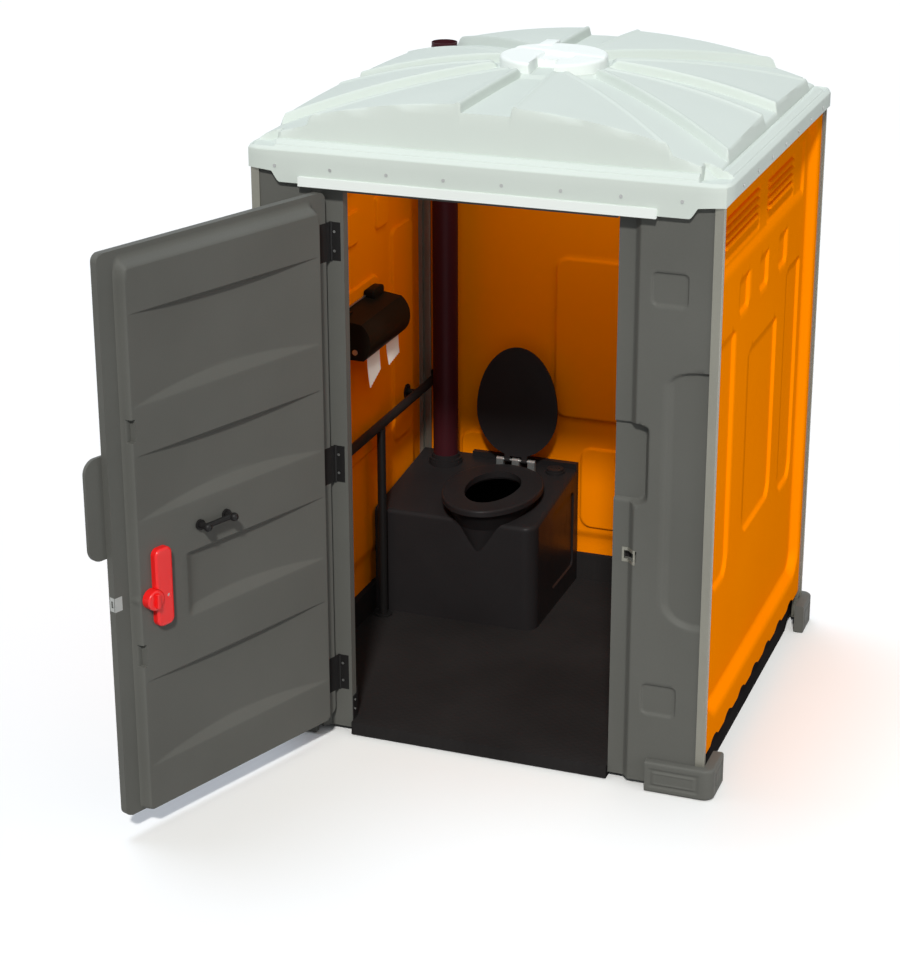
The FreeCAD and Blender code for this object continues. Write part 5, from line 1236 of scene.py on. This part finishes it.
@dataclass
class Bumpers:
    """Four moulded blocks round the feet of the posts, each with a beaded panel."""

    right: float = 810.0
    front: float = -757.0
    post_x: float = 775.0
    post_y: float = -730.0
    leg_x: float = 227.0
    leg_y: float = 150.0
    turn: float = 34.0
    low: float = 4.0
    high: float = 110.0
    panel_gap: float = 12.0
    panel_low: float = 20.0
    panel_high: float = 88.0
    top_radius: float = 8.0
    corner_gap: float = 54.0
    panel_depth: float = 3.0
    bead_in: float = 10.0
    bead_height: float = 4.0
    inner_in: float = 16.0
    inner_drop: float = 1.6
    foot: float = 7.0

    def outline(self) -> tuple[Array, Array, Array, Array]:
        """Points, outward normals, inner points and arc lengths along the block's plan."""
        left, back = self.right - self.leg_x, self.front + self.leg_y
        cx, cy = self.right - self.turn, self.front + self.turn
        angles = np.linspace(-math.pi / 2, 0, 13)
        ways = np.column_stack([np.cos(angles), np.sin(angles)])
        first = np.linspace(left, cx, 34)[:-1]
        last = np.linspace(cy, back, 24)[1:]
        points = np.concatenate([np.column_stack([first, np.full(len(first), self.front)]),
                                 np.array([cx, cy]) + self.turn * ways,
                                 np.column_stack([np.full(len(last), self.right), last])])
        normals = np.concatenate([np.tile([0.0, -1.0], (len(first), 1)), ways,
                                  np.tile([1.0, 0.0], (len(last), 1))])
        inner = np.column_stack([np.minimum(points[:, 0], self.post_x),
                                 np.maximum(points[:, 1], self.post_y)])
        steps = np.hypot(*np.diff(points, axis=0).T)
        return points, normals, inner, np.concatenate([[0.0], np.cumsum(steps)])

    def build(self) -> None:
        """Each block: a profile carried along the plan; the bead stands out and the panel lies back."""
        points, normals, inner, along = self.outline()
        z = np.concatenate([[self.low, self.foot], np.linspace(12, 96, 29),
                            [100.0, 104.0, 107.0, 109.2, self.high]])
        s, height = grid(along, z)
        bend = self.leg_x - self.turn
        offset = np.zeros_like(s)
        for start, end in ((self.panel_gap + 2.0, bend - self.panel_gap),
                           (bend + self.corner_gap + self.panel_gap, along[-1] - self.panel_gap)):
            inside = least(s - start, end - s, height - self.panel_low, self.panel_high - height)
            bead = self.bead_height * ease((inside - self.bead_in) / self.bead_height)
            offset += -self.panel_depth * ease(inside / self.panel_depth) + bead
            offset += -self.inner_drop * ease((inside - self.inner_in) / 3.0)
        round_top = fall((height - self.high + self.top_radius) / self.top_radius)
        offset += -self.top_radius * (1.0 - round_top) - 3.0 * ease((self.foot - height) / 3.0)
        x, y = (points[:, axis][:, None] + normals[:, axis][:, None] * offset for axis in (0, 1))
        ends = [ring(inner, level)[:, None] for level in (self.high, self.low)]
        rings = np.concatenate([np.stack([x, y, height], axis=-1), *ends], axis=1)
        for name, sx, sy in (("front_right", 1, 1), ("front_left", -1, 1), ("back_right", 1, -1),
                             ("back_left", -1, -1)):
            turned = rings * np.array([sx, sy, 1.0])
            make_piece("bumper_" + name, [swept(turned)], GREY, ["corner_bumper_" + name])


@dataclass
class Studio:
    """The floor, the light and the camera."""

    position: Floats = (2.36522, -7.31956, 3.76608)
    yaw: float = -0.35945
    pitch: float = 0.34673
    roll: float = -0.0035
    focal_pixels: float = 2339.756
    centre_pixels: tuple[float, float] = (446.388, 412.437)
    frame_pixels: tuple[int, int] = (900, 962)
    sensor: float = 36.0
    floor_reach: float = 40.0

    def camera(self) -> None:
        """Set the camera at the photograph's view: right, up and forward are the columns of its turn."""
        forward = np.array([math.sin(self.yaw) * math.cos(self.pitch),
                            math.cos(self.yaw) * math.cos(self.pitch), -math.sin(self.pitch)])
        right = np.array([math.cos(self.yaw), -math.sin(self.yaw), 0.0])
        up = np.cross(right, forward)
        rolled_right = math.cos(self.roll) * right + math.sin(self.roll) * up
        rolled_up = -math.sin(self.roll) * right + math.cos(self.roll) * up
        turn = Matrix(np.column_stack([rolled_right, rolled_up, -forward]).tolist()).to_4x4()
        data = bpy.data.cameras.new("view")
        camera = new_object("view", data)
        camera.matrix_world = Matrix.Translation(self.position) @ turn
        width, height = self.frame_pixels
        longest = max(width, height)
        data.sensor_width = self.sensor
        data.lens = self.focal_pixels * self.sensor / longest
        data.shift_x = (width / 2 - self.centre_pixels[0]) / longest
        data.shift_y = (self.centre_pixels[1] - height / 2) / longest
        data.clip_end = 60.0
        bpy.context.scene.camera = camera

    def lamp(self, name: str, power: float, place: Vector, aim: Vector, size: float,
             tint: Colour = (1.0, 1.0, 1.0), kind: str = "AREA") -> None:
        """Make one lamp that is aimed at a point.

        Args:
            name: Name of the lamp.
            power: Strength in the kind's own unit.
            place: Where it stands.
            aim: The point it shines at.
            size: Diameter in metres of an area lamp, or angle in degrees of a sun.
            tint: Colour of its light.
            kind: AREA or SUN.
        """
        data = bpy.data.lights.new(name, kind)
        data.energy = power
        data.color = tint
        if kind == "SUN":
            data.angle = math.radians(size)
        else:
            data.shape = "DISK"
            data.size = size
        lamp = new_object(name, data)
        lamp.location = place
        lamp.rotation_euler = (aim - place).to_track_quat("-Z", "Y").to_euler()

    def lights(self) -> None:
        """A high key from the front, fills from the side and above, and the milky roof's glow."""
        middle = Vector((0.0, 0.0, 1.0))
        for name, strength, toward, spread, tint in (
                ("key", 2.6, (0.20, -0.71, 0.67), 5.0, (1.0, 0.99, 0.95)),
                ("side_fill", 0.10, (0.80, -0.56, 0.22), 40.0, (1.0, 1.0, 1.0)),
                ("zenith", 0.72, (-0.25, 0.12, 0.96), 24.0, (0.88, 0.97, 1.14))):
            self.lamp(name, strength, middle + 9.0 * Vector(toward), middle, spread, tint, "SUN")
        self.lamp("roof_glow", 4.8, Vector((0.05, 0.0, 2.08)), Vector((0.0, 0.05, 0.0)), 1.1,
                  (0.92, 1.06, 1.0))
        self.lamp("side_panel", 15.0, Vector((3.1, -1.3, 1.0)), Vector((0.8, 0.0, 0.9)), 1.4)
        world = bpy.data.worlds.new("studio")
        bpy.context.scene.world = world
        world.use_nodes = True
        sky = world.node_tree.nodes["Background"]
        sky.inputs["Color"].default_value = (0.92, 0.97, 1.0, 1.0)
        self.bright_to_rays(Nodes(world.node_tree), sky.inputs["Strength"], 0.34, 1.0)

    def bright_to_rays(self, nodes: Nodes, socket: Socket, plain: float, seen: float) -> None:
        """Give a strength one value for lighting and another where it is seen or mirrored.

        Args:
            nodes: The tree's nodes.
            socket: The strength socket.
            plain: Strength for lighting.
            seen: Strength for camera, glossy and transmission rays.
        """
        path = nodes.tree.nodes.new("ShaderNodeLightPath").outputs
        reflected = nodes.math("MAXIMUM", path["Is Camera Ray"], path["Is Glossy Ray"])
        visible = nodes.math("MAXIMUM", reflected, path["Is Transmission Ray"])
        strength = nodes.add("MapRange", {"To Min": plain, "To Max": seen, "Value": visible})
        nodes.tree.links.new(strength, socket)

    def floor(self) -> None:
        """A pale floor that is dimmer as a source of bounced light than it looks."""
        mesh = bpy.data.meshes.new("studio_floor")
        reach = self.floor_reach
        mesh.from_pydata([(-reach, -reach, 0), (reach, -reach, 0), (reach, reach, 0), (-reach, reach, 0)],
                         [], [(0, 1, 2, 3)])
        material, nodes, inputs = new_material("studio_white")
        self.bright_to_rays(nodes, inputs["Base Color"], 0.30, 0.95)
        inputs["Roughness"].default_value = 0.9
        inputs["Specular IOR Level"].default_value = 0.0
        mesh.materials.append(material)
        floor = new_object("studio_floor", mesh)

    def build(self) -> None:
        """Set up the whole stage."""
        bpy.context.scene.view_settings.view_transform = "Standard"
        self.camera()
        self.lights()
        self.floor()


def dress(frame: dict[str, dict]) -> None:
    """Give every CAD node the finish of its piece.
    """
    for finish, names in NODE_FINISHES.items():
        for name in names:
            node = frame["nodes"][name]
            node.data.materials.clear()
            node.data.materials.append(finish.material())


def main() -> None:
    """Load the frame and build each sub-assembly."""
    logging.basicConfig(level=logging.INFO, format="%(message)s")
    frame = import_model()
    Studio().build()
    dress(frame)
    for part in (Roof(), RoofCap(), SideWalls(), BackWall(), DoorSkin(), LatchJamb(), Fittings(), Bumpers()):
        part.build()
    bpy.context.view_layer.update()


if __name__ == "__main__":
    main()
